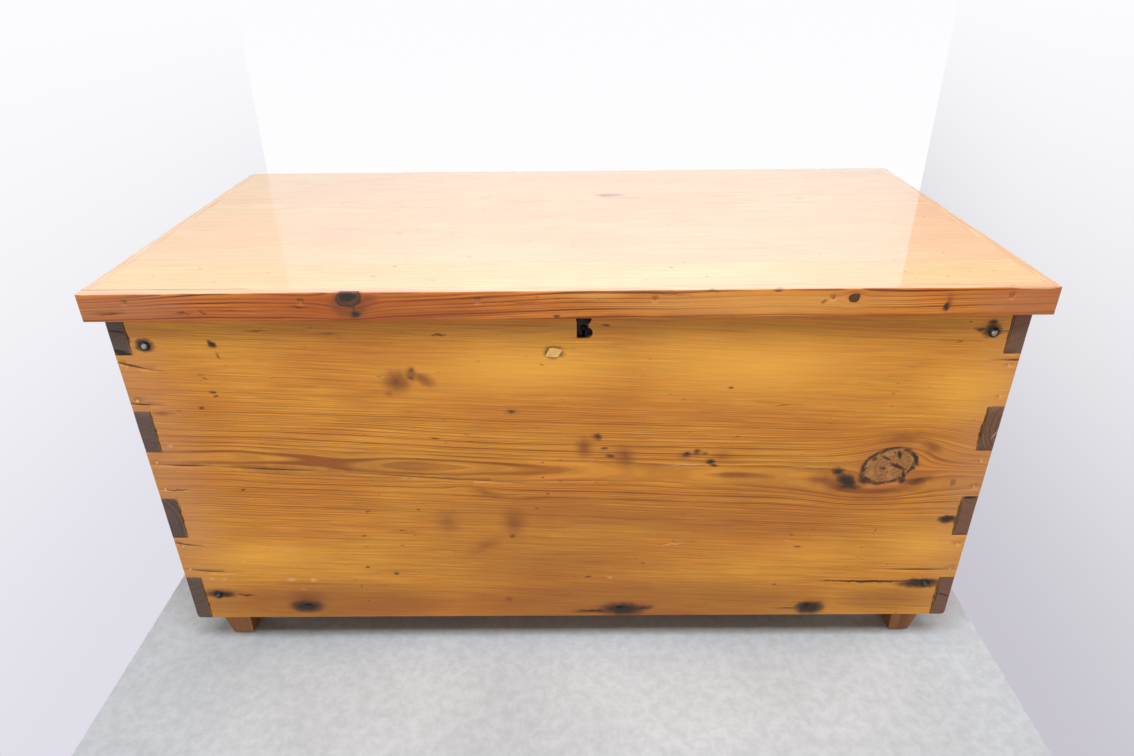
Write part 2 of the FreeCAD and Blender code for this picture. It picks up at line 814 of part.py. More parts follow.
for end, hand in ((-1, "left"), (1, "right")):
    holes = set_all(hinge_hole, case_hinge_screws)
    export(hand + "_hinge_case_leaf", hinge_leaf(end, 0, case_top - hinge_leaf_thickness, case_top, holes))
    holes = set_all(hinge_hole, lid_hinge_screws)
    leaf = hinge_leaf(end, 1, panel_bottom, panel_bottom + hinge_leaf_thickness, holes)
    export(hand + "_hinge_lid_leaf", leaf)
    export(hand + "_hinge_pin", hinge_pin(end))
export_group("hinge_case_screws", set_all(screw(hinge_screw_length), case_hinge_screws))
export_group("hinge_lid_screws", set_all(screw(hinge_screw_length), lid_hinge_screws))

export("lock_plate", lock_plate())
export("lock_cap", lock_cap())
export_group("lock_pillars", pillars())
export("key_post", key_post())
export("lock_bolt", lock_bolt())
export("bolt_spring", bolt_spring())
export_group("lock_screws", set_all(screw(lock_screw_length), lock_screw_places()))
export("keeper", keeper())
export_group("keeper_screws", set_all(screw(keeper_screw_length), keeper_screw_places()))
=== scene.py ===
import math

import bmesh
import bpy
import numpy as np
from mathutils import Matrix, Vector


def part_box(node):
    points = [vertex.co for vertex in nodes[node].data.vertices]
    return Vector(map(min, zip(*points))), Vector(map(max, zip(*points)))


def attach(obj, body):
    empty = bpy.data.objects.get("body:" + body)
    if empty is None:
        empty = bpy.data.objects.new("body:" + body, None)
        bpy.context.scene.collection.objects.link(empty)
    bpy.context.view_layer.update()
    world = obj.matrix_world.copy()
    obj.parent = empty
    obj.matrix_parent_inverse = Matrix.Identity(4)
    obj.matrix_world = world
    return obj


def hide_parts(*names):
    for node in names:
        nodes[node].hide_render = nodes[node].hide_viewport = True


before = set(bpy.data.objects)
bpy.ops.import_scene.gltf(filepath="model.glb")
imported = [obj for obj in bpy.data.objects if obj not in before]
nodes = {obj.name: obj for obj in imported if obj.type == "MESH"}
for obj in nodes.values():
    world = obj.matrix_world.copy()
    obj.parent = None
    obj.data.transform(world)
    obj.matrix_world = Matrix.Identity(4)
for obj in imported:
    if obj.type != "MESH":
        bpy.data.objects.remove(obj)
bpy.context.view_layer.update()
mm = 0.001


# Materials are written as sums: each call adds one node and gives its output socket.

class Bench:
    def __init__(self, name):
        self.material = bpy.data.materials.new(name)
        self.material.use_nodes = True
        self.tree = self.material.node_tree
        self.tree.nodes.clear()

    def put(self, kind, inputs, output=0, **settings):
        node = self.tree.nodes.new("ShaderNode" + kind)
        for key, value in settings.items():
            setattr(node, key, value)
        for key, value in inputs.items():
            if isinstance(value, bpy.types.NodeSocket):
                self.tree.links.new(value, node.inputs[key])
            else:
                node.inputs[key].default_value = value
        return None if output is None else node.outputs[output]

    def math(self, operation, a, b=0.0, c=0.0, clamp=False):
        return self.put("Math", {0: a, 1: b, 2: c}, operation=operation, use_clamp=clamp)

    def vector(self, operation, a, b=(0.0, 0.0, 0.0)):
        output = "Value" if operation in ("LENGTH", "DOT_PRODUCT") else "Vector"
        return self.put("VectorMath", {0: a, 1: b}, output, operation=operation)

    def scaled(self, a, factor):
        return self.put("VectorMath", {0: a, "Scale": factor}, operation="SCALE")

    def noise(self, at, scale=1.0, detail=2.0, roughness=0.5, output=0):
        return self.put("TexNoise", {"Vector": at, "Scale": scale, "Detail": detail, "Roughness": roughness}, output)

    def line(self, at, scale=1.0, detail=1.0):
        # noise along one number
        return self.put("TexNoise", {"W": at, "Scale": scale, "Detail": detail}, noise_dimensions="1D")

    def fade(self, value, low, high, start=0.0, end=1.0):
        # a soft step from start to end while value goes from low to high
        return self.put("MapRange", {"Value": value, "From Min": low, "From Max": high, "To Min": start, "To Max": end},
                        interpolation_type="SMOOTHSTEP")

    def blend(self, factor, a, b, mode="MIX"):
        return self.put("Mix", {0: factor, 6: a, 7: b}, 2, data_type="RGBA", blend_type=mode)

    def join(self, x, y, z=0.0):
        return self.put("CombineXYZ", {0: x, 1: y, 2: z})

    def split(self, at):
        node = self.tree.nodes.new("ShaderNodeSeparateXYZ")
        self.tree.links.new(at, node.inputs[0])
        return node.outputs[0], node.outputs[1], node.outputs[2]

    def bump(self, height, distance, strength=1.0, normal=None):
        inputs = {"Height": height, "Distance": distance, "Strength": strength}
        if normal is not None:
            inputs["Normal"] = normal
        return self.put("Bump", inputs)

    def surface(self, inputs):
        shader = self.put("BsdfPrincipled", inputs)
        self.put("OutputMaterial", {0: shader}, None)
        return self.material


def colour(r, g, b):
    # a colour picked as screen values 0 to 255, in linear light
    return tuple(((c / 255 + 0.055) / 1.055) ** 2.4 if c > 10 else c / 255 / 12.92 for c in (r, g, b)) + (1.0,)


def ellipse(bench, at, mark):
    # distance from a mark's middle, in its own turned and stretched radii
    x, z, rx, rz, turn = mark[:5]
    inputs = {"Vector": at, "Location": (x, z, 0), "Rotation": (0, 0, math.radians(turn)), "Scale": (rx, rz, 1)}
    place = bench.put("Mapping", inputs, vector_type="TEXTURE")
    return bench.vector("LENGTH", place)


def after(bench, at, earlier):
    # the same place to a millionth, worked out once the earlier number is known: a long row of marks
    # taken side by side would overrun the shader's memory, and one after the other they fit
    if earlier is None:
        return at
    return bench.put("VectorMath", {0: earlier, 1: (1e-6, 1e-6, 0.0), 2: at}, operation="MULTIPLY_ADD")


def markField(bench, at, marks):
    # the largest of strength * (1 - distance), so 0 at each mark's rim and strength in its middle
    field = None
    for mark in marks:
        near = bench.math("MULTIPLY_ADD", ellipse(bench, after(bench, at, field), mark), -mark[5], mark[5])
        field = near if field is None else bench.math("MAXIMUM", field, near)
    return bench.math("MAXIMUM", field, 0.0)


def crack(xa, za, xb, zb, width, strength=1.0):
    # a split between two points as a long thin ellipse
    length = math.hypot(xb - xa, zb - za)
    return ((xa + xb) / 2, (za + zb) / 2, length / 2, width, math.degrees(math.atan2(zb - za, xb - xa)), strength)



def boardMaterial(name, spec):
    # Growth rings lie round a pith that runs along the board. The distance from the pith, divided by the
    # ring width, counts the rings, and the count's fraction goes from pale early wood to dark late wood.
    # Noise stretched along the grain bends them, and each knot pushes them aside.
    bench = Bench(name)
    at = bench.scaled(bench.put("TexCoord", {}, "Object"), 1000.0)
    axes = dict(zip("xyz", bench.split(at)))
    along, across, through = (axes[a] for a in spec["axes"])
    board = bench.join(along, across, through)
    seeded = bench.vector("ADD", board, (spec["seed"] * 997.0, spec["seed"] * 131.0, 0.0))

    bend = bench.noise(bench.vector("MULTIPLY", seeded, (1 / 430, 1 / 95, 1 / 95)), 1.0, 2.0, 0.45, "Color")
    sway, lift, depth = bench.split(bench.vector("SUBTRACT", bend, (0.5, 0.5, 0.5)))
    small = bench.noise(bench.vector("MULTIPLY", seeded, (1 / 70, 1 / 16, 1 / 16)), 1.0, 2.0)
    shift = bench.math("MULTIPLY", lift, spec["wander"])
    shift = bench.math("MULTIPLY_ADD", bench.math("SUBTRACT", small, 0.5), spec["ripple"], shift)
    blurred = bench.vector("SUBTRACT", bench.noise(bench.scaled(board, 1 / 11), 1.0, 2.0, 0.5, "Color"), (0.5, 0.5, 0.5))
    flat = bench.join(along, across)
    rough = bench.vector("ADD", flat, bench.vector("MULTIPLY", blurred, (10.0, 8.0, 0.0)))

    for x, z, rx, rz, turn, push in spec.get("flames", ()):
        # a long lens in which the rings part, as in a board sawn through a bow of its trunk
        wide = ellipse(bench, after(bench, flat, shift), (x, z, rx, rz, turn))
        weight = bench.math("POWER", 2.718, bench.math("MULTIPLY", bench.math("MULTIPLY", wide, wide), -1.0))
        lean = bench.math("MULTIPLY", bench.math("SUBTRACT", across, z), weight)
        shift = bench.math("MULTIPLY_ADD", lean, -push, shift)

    core, rim, eyes = None, None, None
    for knot in spec.get("knots", ()):
        x, z, rx, rz, turn, push = knot
        away = ellipse(bench, after(bench, rough, core), (x, z, rx, rz, turn))
        wide = ellipse(bench, after(bench, flat, core), (x, z, rx * 2.1, rz * 1.7, turn * 0.6))
        weight = bench.math("POWER", 2.718, bench.math("MULTIPLY", bench.math("MULTIPLY", wide, wide), -1.1))
        lean = bench.math("MULTIPLY", bench.math("SUBTRACT", across, z), weight)
        shift = bench.math("MULTIPLY_ADD", lean, -push, shift)
        inside = bench.fade(away, 1.06, 0.94)
        line = bench.fade(bench.math("ABSOLUTE", bench.math("SUBTRACT", away, 1.0)), 0.15, 0.02)
        eye = bench.math("MULTIPLY", inside, away)
        core = inside if core is None else bench.math("MAXIMUM", core, inside)
        rim = line if rim is None else bench.math("MAXIMUM", rim, line)
        eyes = eye if eyes is None else bench.math("MAXIMUM", eyes, eye)

    pithAcross, pithThrough, slope, taper = spec["pith"]
    dv = bench.math("SUBTRACT", bench.math("ADD", across, shift), bench.math("MULTIPLY_ADD", along, slope, pithAcross))
    dw = bench.math("SUBTRACT", through, bench.math("MULTIPLY_ADD", along, taper, pithThrough))
    dw = bench.math("MULTIPLY_ADD", depth, spec["wander"] * 1.4, dw)
    count = bench.math("DIVIDE", bench.vector("LENGTH", bench.join(dv, dw)), spec["ring"])
    uneven = bench.math("MULTIPLY_ADD", bench.line(count, 0.27, 2.0), 3.2, count)
    part = bench.math("FRACT", uneven)
    late = bench.math("MULTIPLY", bench.fade(part, 0.22, 0.86), bench.fade(part, 1.0, 0.9))
    heavy = bench.fade(bench.line(uneven, 0.55, 1.0), 0.32, 0.68, 0.4, 1.3)
    patchy = bench.fade(bench.noise(bench.vector("MULTIPLY", seeded, (1 / 180, 1 / 40, 1 / 40))), 0.3, 0.7, 0.6, 1.1)
    late = bench.math("MULTIPLY", bench.math("MULTIPLY", late, heavy), patchy)
    if spec.get("calm"):
        # far from the pith the rings stand close and show less
        late = bench.math("MULTIPLY", late, bench.fade(bench.math("ABSOLUTE", dv), 35.0, 130.0, 1.25, spec["calm"]))

    streakAt = bench.join(bench.math("DIVIDE", along, 75.0), bench.math("MULTIPLY", uneven, 1.7),
                          bench.math("DIVIDE", through, 9.0))
    fibre = bench.noise(streakAt, 1.0, 4.0, 0.6)
    fleckAt = bench.join(bench.math("DIVIDE", along, 16.0), bench.math("MULTIPLY", uneven, 1.5), 0.0)
    fleck = bench.math("MULTIPLY", bench.fade(bench.noise(fleckAt, 1.0, 1.0), 0.72, 0.8), 0.7)
    cloud = bench.noise(bench.vector("MULTIPLY", seeded, (1 / 260, 1 / 85, 1 / 85)), 1.0, 3.0, 0.55)

    early, warm, dusk, contrast, gloss = spec["early"], spec["warm"], spec["late"], spec["contrast"], spec["varnish"]
    if spec.get("top") is not None:
        # upper faces are paler and show their grain less: painted light, standing in for the strong light on the lid's
        # top; they also carry a thick varnish
        up = bench.fade(bench.split(bench.put("TexCoord", {}, "Normal"))[2], 0.6, 0.95)
        early, warm, dusk = (bench.blend(up, a, b) for a, b in zip((early, warm, dusk), spec["top"]))
        contrast = bench.fade(up, 0.0, 1.0, contrast, 0.3)
        gloss = bench.fade(up, 0.0, 1.0, spec["edgeVarnish"], gloss)
    wood = bench.blend(bench.fade(cloud, 0.3, 0.7), early, warm)
    wood = bench.blend(bench.math("MULTIPLY", late, contrast), wood, dusk)
    wood = bench.blend(spec["fibre"], wood, bench.blend(bench.fade(fibre, 0.3, 0.7), (0.8, 0.76, 0.7, 1), (1.12, 1.15, 1.19, 1)),
                       "MULTIPLY")
    wood = bench.blend(fleck, wood, spec["dark"])

    bare = 1.0
    height = bench.math("MULTIPLY_ADD", late, 0.5, bench.math("MULTIPLY", fibre, 0.5))
    if spec.get("face") is not None:
        near = bench.fade(through, spec["face"] + 2.0 * spec["inward"], spec["face"] + 6.0 * spec["inward"], 1.0, 0.0)

        def tinted(wood, field, tint, amount, low=0.0, high=0.5):
            mask = bench.math("MULTIPLY", bench.fade(field, low, high), near)
            return bench.blend(bench.math("MULTIPLY", mask, amount), wood, tint), mask

        def lay(wood, marks, tint, amount, low=0.0, high=0.5, place=flat):
            return tinted(wood, markField(bench, place, marks), tint, amount, low, high)

        # broad patches of colour; on the front board some of them are painted light and painted shade
        for marks, tint, amount in spec.get("tonesAndPaintedLight", ()):
            wood, mask = lay(wood, marks, tint, amount, 0.0, 1.0)
        if spec.get("smudges"):
            wood, mask = lay(wood, spec["smudges"], colour(116, 58, 28), 0.72, 0.0, 1.0, rough)
        if core is not None:
            turns = bench.math("FRACT", bench.math("MULTIPLY", eyes, 5.0))
            heart = bench.blend(bench.math("MULTIPLY", bench.fade(turns, 0.2, 0.9), 0.5), spec["knotPale"], spec["knotDark"])
            checks = bench.put("TexVoronoi", {"Vector": bench.scaled(rough, 1 / 9)}, "Distance", feature="DISTANCE_TO_EDGE")
            where = bench.fade(bench.noise(bench.scaled(flat, 1 / 16)), 0.32, 0.5)
            heart = bench.blend(bench.math("MULTIPLY", bench.fade(checks, 0.1, 0.02), where), heart, spec["dark"])
            wood = bench.blend(bench.math("MULTIPLY", core, near), wood, heart)
            broken = bench.fade(bench.noise(bench.scaled(flat, 1 / 9)), 0.35, 0.6, 0.45, 1.0)
            wood = bench.blend(bench.math("MULTIPLY", bench.math("MULTIPLY", rim, near), broken), wood, spec["rim"])
            height = bench.math("SUBTRACT", height, bench.math("MULTIPLY", rim, 1.5))
        if spec.get("marks"):
            wood, mask = lay(wood, spec["marks"], colour(84, 42, 24), 0.85, 0.0, 1.0, rough)
            height = bench.math("SUBTRACT", height, mask)
        # stain marks; on the front board they include painted shade along the finger joints
        if spec.get("stainsAndJointShade"):
            field = markField(bench, rough, spec["stainsAndJointShade"])
            wood, mask = tinted(wood, field, colour(104, 62, 36), 0.7, 0.0, 0.55)
            wood, mask = tinted(wood, field, colour(40, 38, 32), 0.93, 0.2, 0.95)
            bare = bench.math("SUBTRACT", 1.0, bench.math("MULTIPLY", mask, 0.6))
        if spec.get("scuffs"):
            wood, mask = lay(wood, spec["scuffs"], colour(232, 194, 146), 0.42, 0.0, 1.0, rough)
        if spec.get("splits"):
            wood, mask = lay(wood, spec["splits"], colour(66, 32, 18), 0.85, 0.15, 1.0)
            height = bench.math("SUBTRACT", height, bench.math("MULTIPLY", mask, 2.0))

    facing = bench.split(bench.put("TexCoord", {}, "Normal"))["xyz".index(spec["axes"][0])]
    endGrain = bench.fade(bench.math("ABSOLUTE", facing), 0.55, 0.8)
    pores = bench.noise(bench.scaled(at, 0.9), 1.0, 3.0, 0.7)
    endWood = bench.blend(late, spec["end"], spec["endLate"])
    endWood = bench.blend(1.0, endWood, bench.blend(bench.fade(pores, 0.3, 0.7), (0.7, 0.7, 0.7, 1), (1.2, 1.2, 1.2, 1)),
                          "MULTIPLY")
    sides = bench.join(through, across)
    # dark marks on the front finger ends, some of them painted shade along the joints
    if spec.get("endMarksAndJointShade"):
        before = bench.fade(along, -200.0, -260.0)
        mask = bench.math("MULTIPLY", bench.fade(markField(bench, sides, spec["endMarksAndJointShade"]), 0.0, 0.5), before)
        endWood = bench.blend(bench.math("MULTIPLY", mask, 0.85), endWood, colour(28, 22, 20))
    if spec.get("endScuffs"):
        mask = bench.math("MULTIPLY", bench.fade(markField(bench, sides, spec["endScuffs"]), 0.0, 0.7), before)
        endWood = bench.blend(bench.math("MULTIPLY", mask, 0.5), endWood, colour(206, 178, 150))
    wood = bench.blend(endGrain, wood, endWood)
    gloss = bench.math("MULTIPLY", bench.math("SUBTRACT", 1.0, bench.math("MULTIPLY", endGrain, 0.75)), gloss)
    if spec.get("inside") is not None:
        # inner faces were never varnished
        raw = bench.fade(bench.math("MULTIPLY", bench.math("SUBTRACT", through, spec["inside"]), spec["inward"]), -2.0, 1.0)
        dull = bench.blend(late, colour(176, 132, 86), colour(124, 82, 48))
        dull = bench.blend(1.0, dull, bench.blend(cloud, (0.75, 0.75, 0.75, 1), (1.1, 1.1, 1.1, 1)), "MULTIPLY")
        wood = bench.blend(bench.math("MULTIPLY", raw, 0.85), wood, dull)
        gloss = bench.math("MULTIPLY", gloss, bench.math("SUBTRACT", 1.0, raw))
    gloss = bench.math("MULTIPLY", gloss, bare)
    roughness = bench.math("MULTIPLY_ADD", bench.math("SUBTRACT", 1.0, gloss), 0.25, spec["rough"])
    roughness = bench.math("MULTIPLY_ADD", fibre, 0.12, roughness)
    normal = bench.bump(height, 0.00022, 0.55)
    return bench.surface({"Base Color": wood, "Roughness": roughness, "Normal": normal, "Coat Weight": gloss,
                          "Coat Roughness": spec["coatRough"], "Coat IOR": spec["coatIor"], "Specular IOR Level": 0.2})


# What all the boards share; each board's own dictionary below adds to it or changes it.
pine = {
    "axes": "xzy", "seed": 1.0, "wander": 13.0, "ripple": 0.9,
    "pith": (300.0, -330.0, 0.0, 0.0), "ring": 2.6, "contrast": 0.8,
    "early": colour(216, 148, 50), "warm": colour(200, 126, 42), "late": colour(152, 82, 26), "calm": 0.55, "fibre": 1.0,
    "dark": colour(70, 32, 14), "rim": colour(52, 36, 26), "knotPale": colour(172, 112, 56), "knotDark": colour(138, 82, 42),
    "end": colour(92, 72, 66), "endLate": colour(66, 48, 44),
    "varnish": 0.3, "rough": 0.45, "coatRough": 0.2, "coatIor": 1.45,
}

frontBoard = dict(
    pine, seed=1.0, face=-290.5, inward=1.0, inside=-267.5,
    pith=(338.0, -336.0, -0.045, 0.0), ring=2.5,
    knots=((453, 343, 38, 28, 25, 1.0),), rim=colour(62, 44, 34), knotPale=colour(182, 126, 68), knotDark=colour(146, 96, 52),
    calm=0.42,
    flames=((-500, 352, 70, 10, -2, 0.95), (-400, 346, 50, 10, -4, 0.95), (-110, 300, 60, 8, -12, 0.8), (330, 452, 90, 10, 2, 0.6)),
    tonesAndPaintedLight=(
        (((-590, 330, 110, 420, 0, 1.2), (600, 330, 100, 420, 0, 1.2)), colour(196, 138, 96), 0.42),
        # darker patches, most of them low on the board: partly browner wood, partly painted shade for the light falling
        # off towards the floor
        (((-30, 170, 330, 120, 0, 0.8), (-280, 350, 250, 42, -3, 0.8), (300, 315, 190, 45, 0, 0.5),
          (110, 86, 420, 74, 0, 1.6), (-330, 72, 240, 34, 0, 1.0), (430, 330, 110, 66, 10, 0.5),
          (90, 250, 560, 70, -3, 0.7), (490, 92, 130, 36, 0, 1.2), (-380, 90, 300, 56, 0, 1.6)), colour(134, 76, 36), 0.55),
        # a band just under the lid's front strip: painted shadow of the strip, partly dirt
        (((0, 592, 900, 30, 0, 1.2),), colour(196, 92, 26), 0.6),
        (((453, 340, 84, 58, 14, 1.3),), colour(178, 98, 56), 0.5),
        # paler golden patches, most of them high on the board: painted light, the board lit more towards the top,
        # partly the wood's own tone
        (((250, 505, 260, 80, 0, 1.0), (-60, 500, 260, 60, 0, 0.9), (-470, 185, 150, 50, 0, 0.7),
          (330, 190, 200, 40, 0, 0.5), (540, 470, 120, 70, 0, 0.8), (530, 200, 120, 60, 0, 0.8)), colour(240, 172, 66), 0.7),
    ),
    smudges=((-425, 344, 66, 14, -3, 0.8), (-17, 526, 17, 13, 0, 1.8), (464, 391, 58, 17, 4, 0.8), (508, 374, 27, 13, -35, 0.9),
             (388, 312, 48, 26, -12, 1.0), (470, 301, 66, 14, 8, 0.8), (-120, 302, 40, 12, -20, 0.7), (-411, 100, 48, 24, 0, 0.9), (23, 378, 18, 26, 0, 1.0), (80, 362, 20, 28, 20, 0.9), (181, 368, 14, 9, 0, 1.0), (41, 394, 11, 9, 0, 1.1),
             (-178, 246, 34, 40, 0, 0.65), (-81, 246, 30, 44, 0, 0.85), (-126, 202, 60, 20, 32, 0.6), (217, 362, 24, 14, 0, 0.7),
             (165, 364, 16, 12, 0, 0.9), (-227, 485, 27, 25, 0, 1.3), (-207, 495, 13, 17, 0, 1.3), (-192, 488, 27, 12, -32, 1.1),
             (-240, 466, 12, 8, 0, 0.7), (-96, 95, 10, 8, 0, 0.9), (-77, 436, 17, 6, 0, 0.7), (430, 290, 70, 12, 0, 0.6),
             (366, 322, 40, 26, 0, 0.7), (500, 316, 34, 12, 16, 1.0), (80, 78, 60, 16, 0, 1.0), (376, 80, 40, 16, 0, 0.9),
             (-545, 112, 45, 14, 0, 0.9), (-308, 556, 26, 4, 0, 0.7), (-553, 437, 26, 5, 0, 0.9), (545, 560, 24, 18, 0, 0.7)),
    marks=((-458, 525, 3, 8, 20, 0.9), (-488, 496, 8, 2.4, -10, 0.7), (-482, 491, 8, 2.4, -10, 0.7),
           (-477, 471, 7, 3, -8, 1.4), (-474, 464, 7, 2.8, -5, 1.2), (-499, 446, 7, 3, 0, 1.3), (-529, 441, 5, 2, 0, 0.8),
           (-400, 560, 21, 1.8, 0, 0.9), (-308, 555, 22, 1.8, -6, 0.5), (-566, 309, 24, 2, 0, 1.2), (-470, 309, 5, 2.6, 0, 1.2),
           (-293, 269, 6, 2.5, 8, 1.1), (-306, 223, 6, 2.5, 0, 1.0), (-305, 201, 5, 2, 0, 0.9), (-308, 162, 6, 2.6, 8, 1.1),
           (-265, 149, 6, 3.4, 0, 1.2), (-323, 123, 2, 5, 0, 0.8), (-317, 93, 5, 3, 0, 0.9), (-166, 553, 15, 2.6, -3, 1.3),
           (-77, 436, 8, 3.6, 0, 1.1), (-228, 484, 9, 8, 0, 0.6), (-206, 502, 6, 4, 0, 0.9), (-209, 490, 6, 4, 0, 0.9), (-185, 394, 14, 2, -2, 1.2), (-139, 401, 9, 2, 0, 0.6), (-170, 387, 4, 2, 0, 0.7),
           (51, 376, 6, 4, 0, 1.3), (60, 363, 10, 4.5, 0, 1.4), (41, 396, 8, 6, 0, 1.1), (168, 365, 9, 6, 0, 1.2), (181, 371, 7, 4, 0, 1.1), (193, 367, 6, 4, 0, 1.0), (-84, 221, 7, 6, 30, 0.9), (-29, 299, 5, 3, -30, 0.9),
           (-45, 272, 6, 2.4, 0, 0.9), (-221, 271, 5, 3, 0, 1.1), (-273, 300, 4, 2, 0, 0.7), (-248, 233, 9, 1.8, -14, 1.1),
           (-232, 230, 7, 1.4, -8, 0.7), (28, 141, 7, 3, 0, 1.4), (111, 167, 4, 3, 0, 0.8), (218, 471, 6, 3, 5, 1.3),
           (331, 220, 5, 2.6, 0, 0.9), (343, 197, 8, 3, 0, 0.9), (235, 394, 10, 2, 0, 0.7), (317, 122, 6, 2.8, 0, 1.0),
           (291, 444, 17, 1.5, 3, 0.8), (454, 227, 8, 2, 62, 0.8), (510, 538, 10, 2, 0, 0.9), (-116, 514, 3, 2, 0, 0.8),
           (110, 514, 3, 2, 0, 0.6), (455, 500, 14, 1.5, 0, 0.5), (395, 478, 16, 1.5, 0, 0.5), (497, 487, 9, 1.5, 0, 0.5),
           (-33, 508, 3, 2.4, 0, 1.0), (51, 565, 7, 2.6, 0, 1.5), (38, 566, 8, 1.4, 0, 0.6)),
    stainsAndJointShade=((-550, 541, 15, 13, 0, 1.5), (-462, 542, 9, 6, -48, 1.2), (547, 553, 16, 13, 0, 1.4), (546, 565, 9, 6, 0, 1.1),
            (532, 555, 11, 5, 0, 0.9), (-545, 108, 29, 9, -2, 1.3), (-506, 106, 24, 3, -2, 0.8), (541, 124, 46, 13, 0, 1.3), crack(370, 130, 540, 126, 3.0, 1.2),
            (-415, 82, 36, 18, 0, 1.3), (84, 72, 46, 18, 0, 1.3), (40, 69, 50, 6, 0, 0.9), (112, 74, 30, 9, 10, 0.9),
            (377, 74, 30, 18, 0, 1.5), (345, 73, 30, 3, 0, 0.7), (398, 318, 23, 14, -40, 1.3), (384, 334, 14, 10, -30, 1.1),
            (402, 308, 26, 7, -4, 1.0), (422, 318, 12, 10, -30, 0.9), (496, 318, 30, 12, 18, 0.6), (557, 248, 20, 10, 0, 1.3),
            (-16.5, 526, 15.5, 10.5, 0, 0.8), (41, 396, 6, 4, 0, 0.8), (200, 352, 10, 6, 0, 1.3), (206, 346, 10, 3, 0, 0.9), (169, 366, 5, 4, 0, 0.9),
            crack(462, 372, 468, 350, 3.4, 1.3), crack(450, 350, 484, 334, 3.6, 1.3), crack(438, 362, 456, 352, 2.8, 1.1),
            crack(480, 372, 498, 338, 5.0, 1.2), crack(474, 340, 480, 316, 3.4, 1.2), (477, 318, 8, 7, -30, 1.2), (444, 340, 6, 3, 20, 1.0),
            crack(426, 350, 436, 362, 2.6, 1.0),
            # upright dark lines at both ends along the finger joints: painted shade in the joint gaps, partly dirt
            crack(-569.6, 141, -569.6, 60, 2.4, 1.0), crack(-569.6, 292, -569.6, 222, 2.4, 1.0), crack(-569.6, 440, -569.6, 375, 2.4, 1.0),
            crack(-569.6, 592, -569.6, 527, 2.4, 1.0), crack(569.6, 135, 569.6, 60, 2.4, 1.0), crack(569.6, 289, 569.6, 219, 2.4, 1.0),
            crack(569.6, 438, 569.6, 369, 2.4, 1.0), crack(569.6, 592, 569.6, 520, 2.4, 1.0)),
    scuffs=((-556, 384, 6, 4, 30, 1.0), (-496, 175, 6, 3, 0, 0.8), (-430, 137, 12, 6, 0, 0.9), (-396, 137, 8, 7, 0, 1.0),
            (-551, 139, 6, 3, 0, 0.9), (-533, 138, 5, 3, 0, 0.9), (152, 203, 30, 1.3, 8, 1.2), (63, 140, 5, 3, 0, 1.1),
            (328, 208, 11, 2.5, 0, 0.8), (165, 348, 42, 2.2, 1, 1.1), (340, 342, 50, 3, 1, 0.6), (-500, 352, 40, 3, -2, 0.5), (589, 403, 3, 12, 0, 0.9), (-415, 118, 7, 4, -30, 0.6)),
    splits=(crack(-606, 520, -547, 503, 2.4, 1.4), crack(-604, 454, -553, 450, 2.2, 1.3), crack(-584, 353, -500, 350, 2.0, 1.3),
            crack(-505, 349, -330, 339, 1.7, 1.2), crack(-345, 340, -62, 317, 1.5, 1.1), crack(-612, 216, -549, 202, 2.0, 1.3),
            crack(-598, 160, -511, 151, 2.0, 1.3), crack(563, 510, 612, 510, 2.0, 1.3), crack(460, 153, 600, 151, 2.2, 1.5),
            crack(378, 129, 560, 128, 2.2, 1.5), crack(552, 552, 585, 552, 1.4, 1.2)),
)

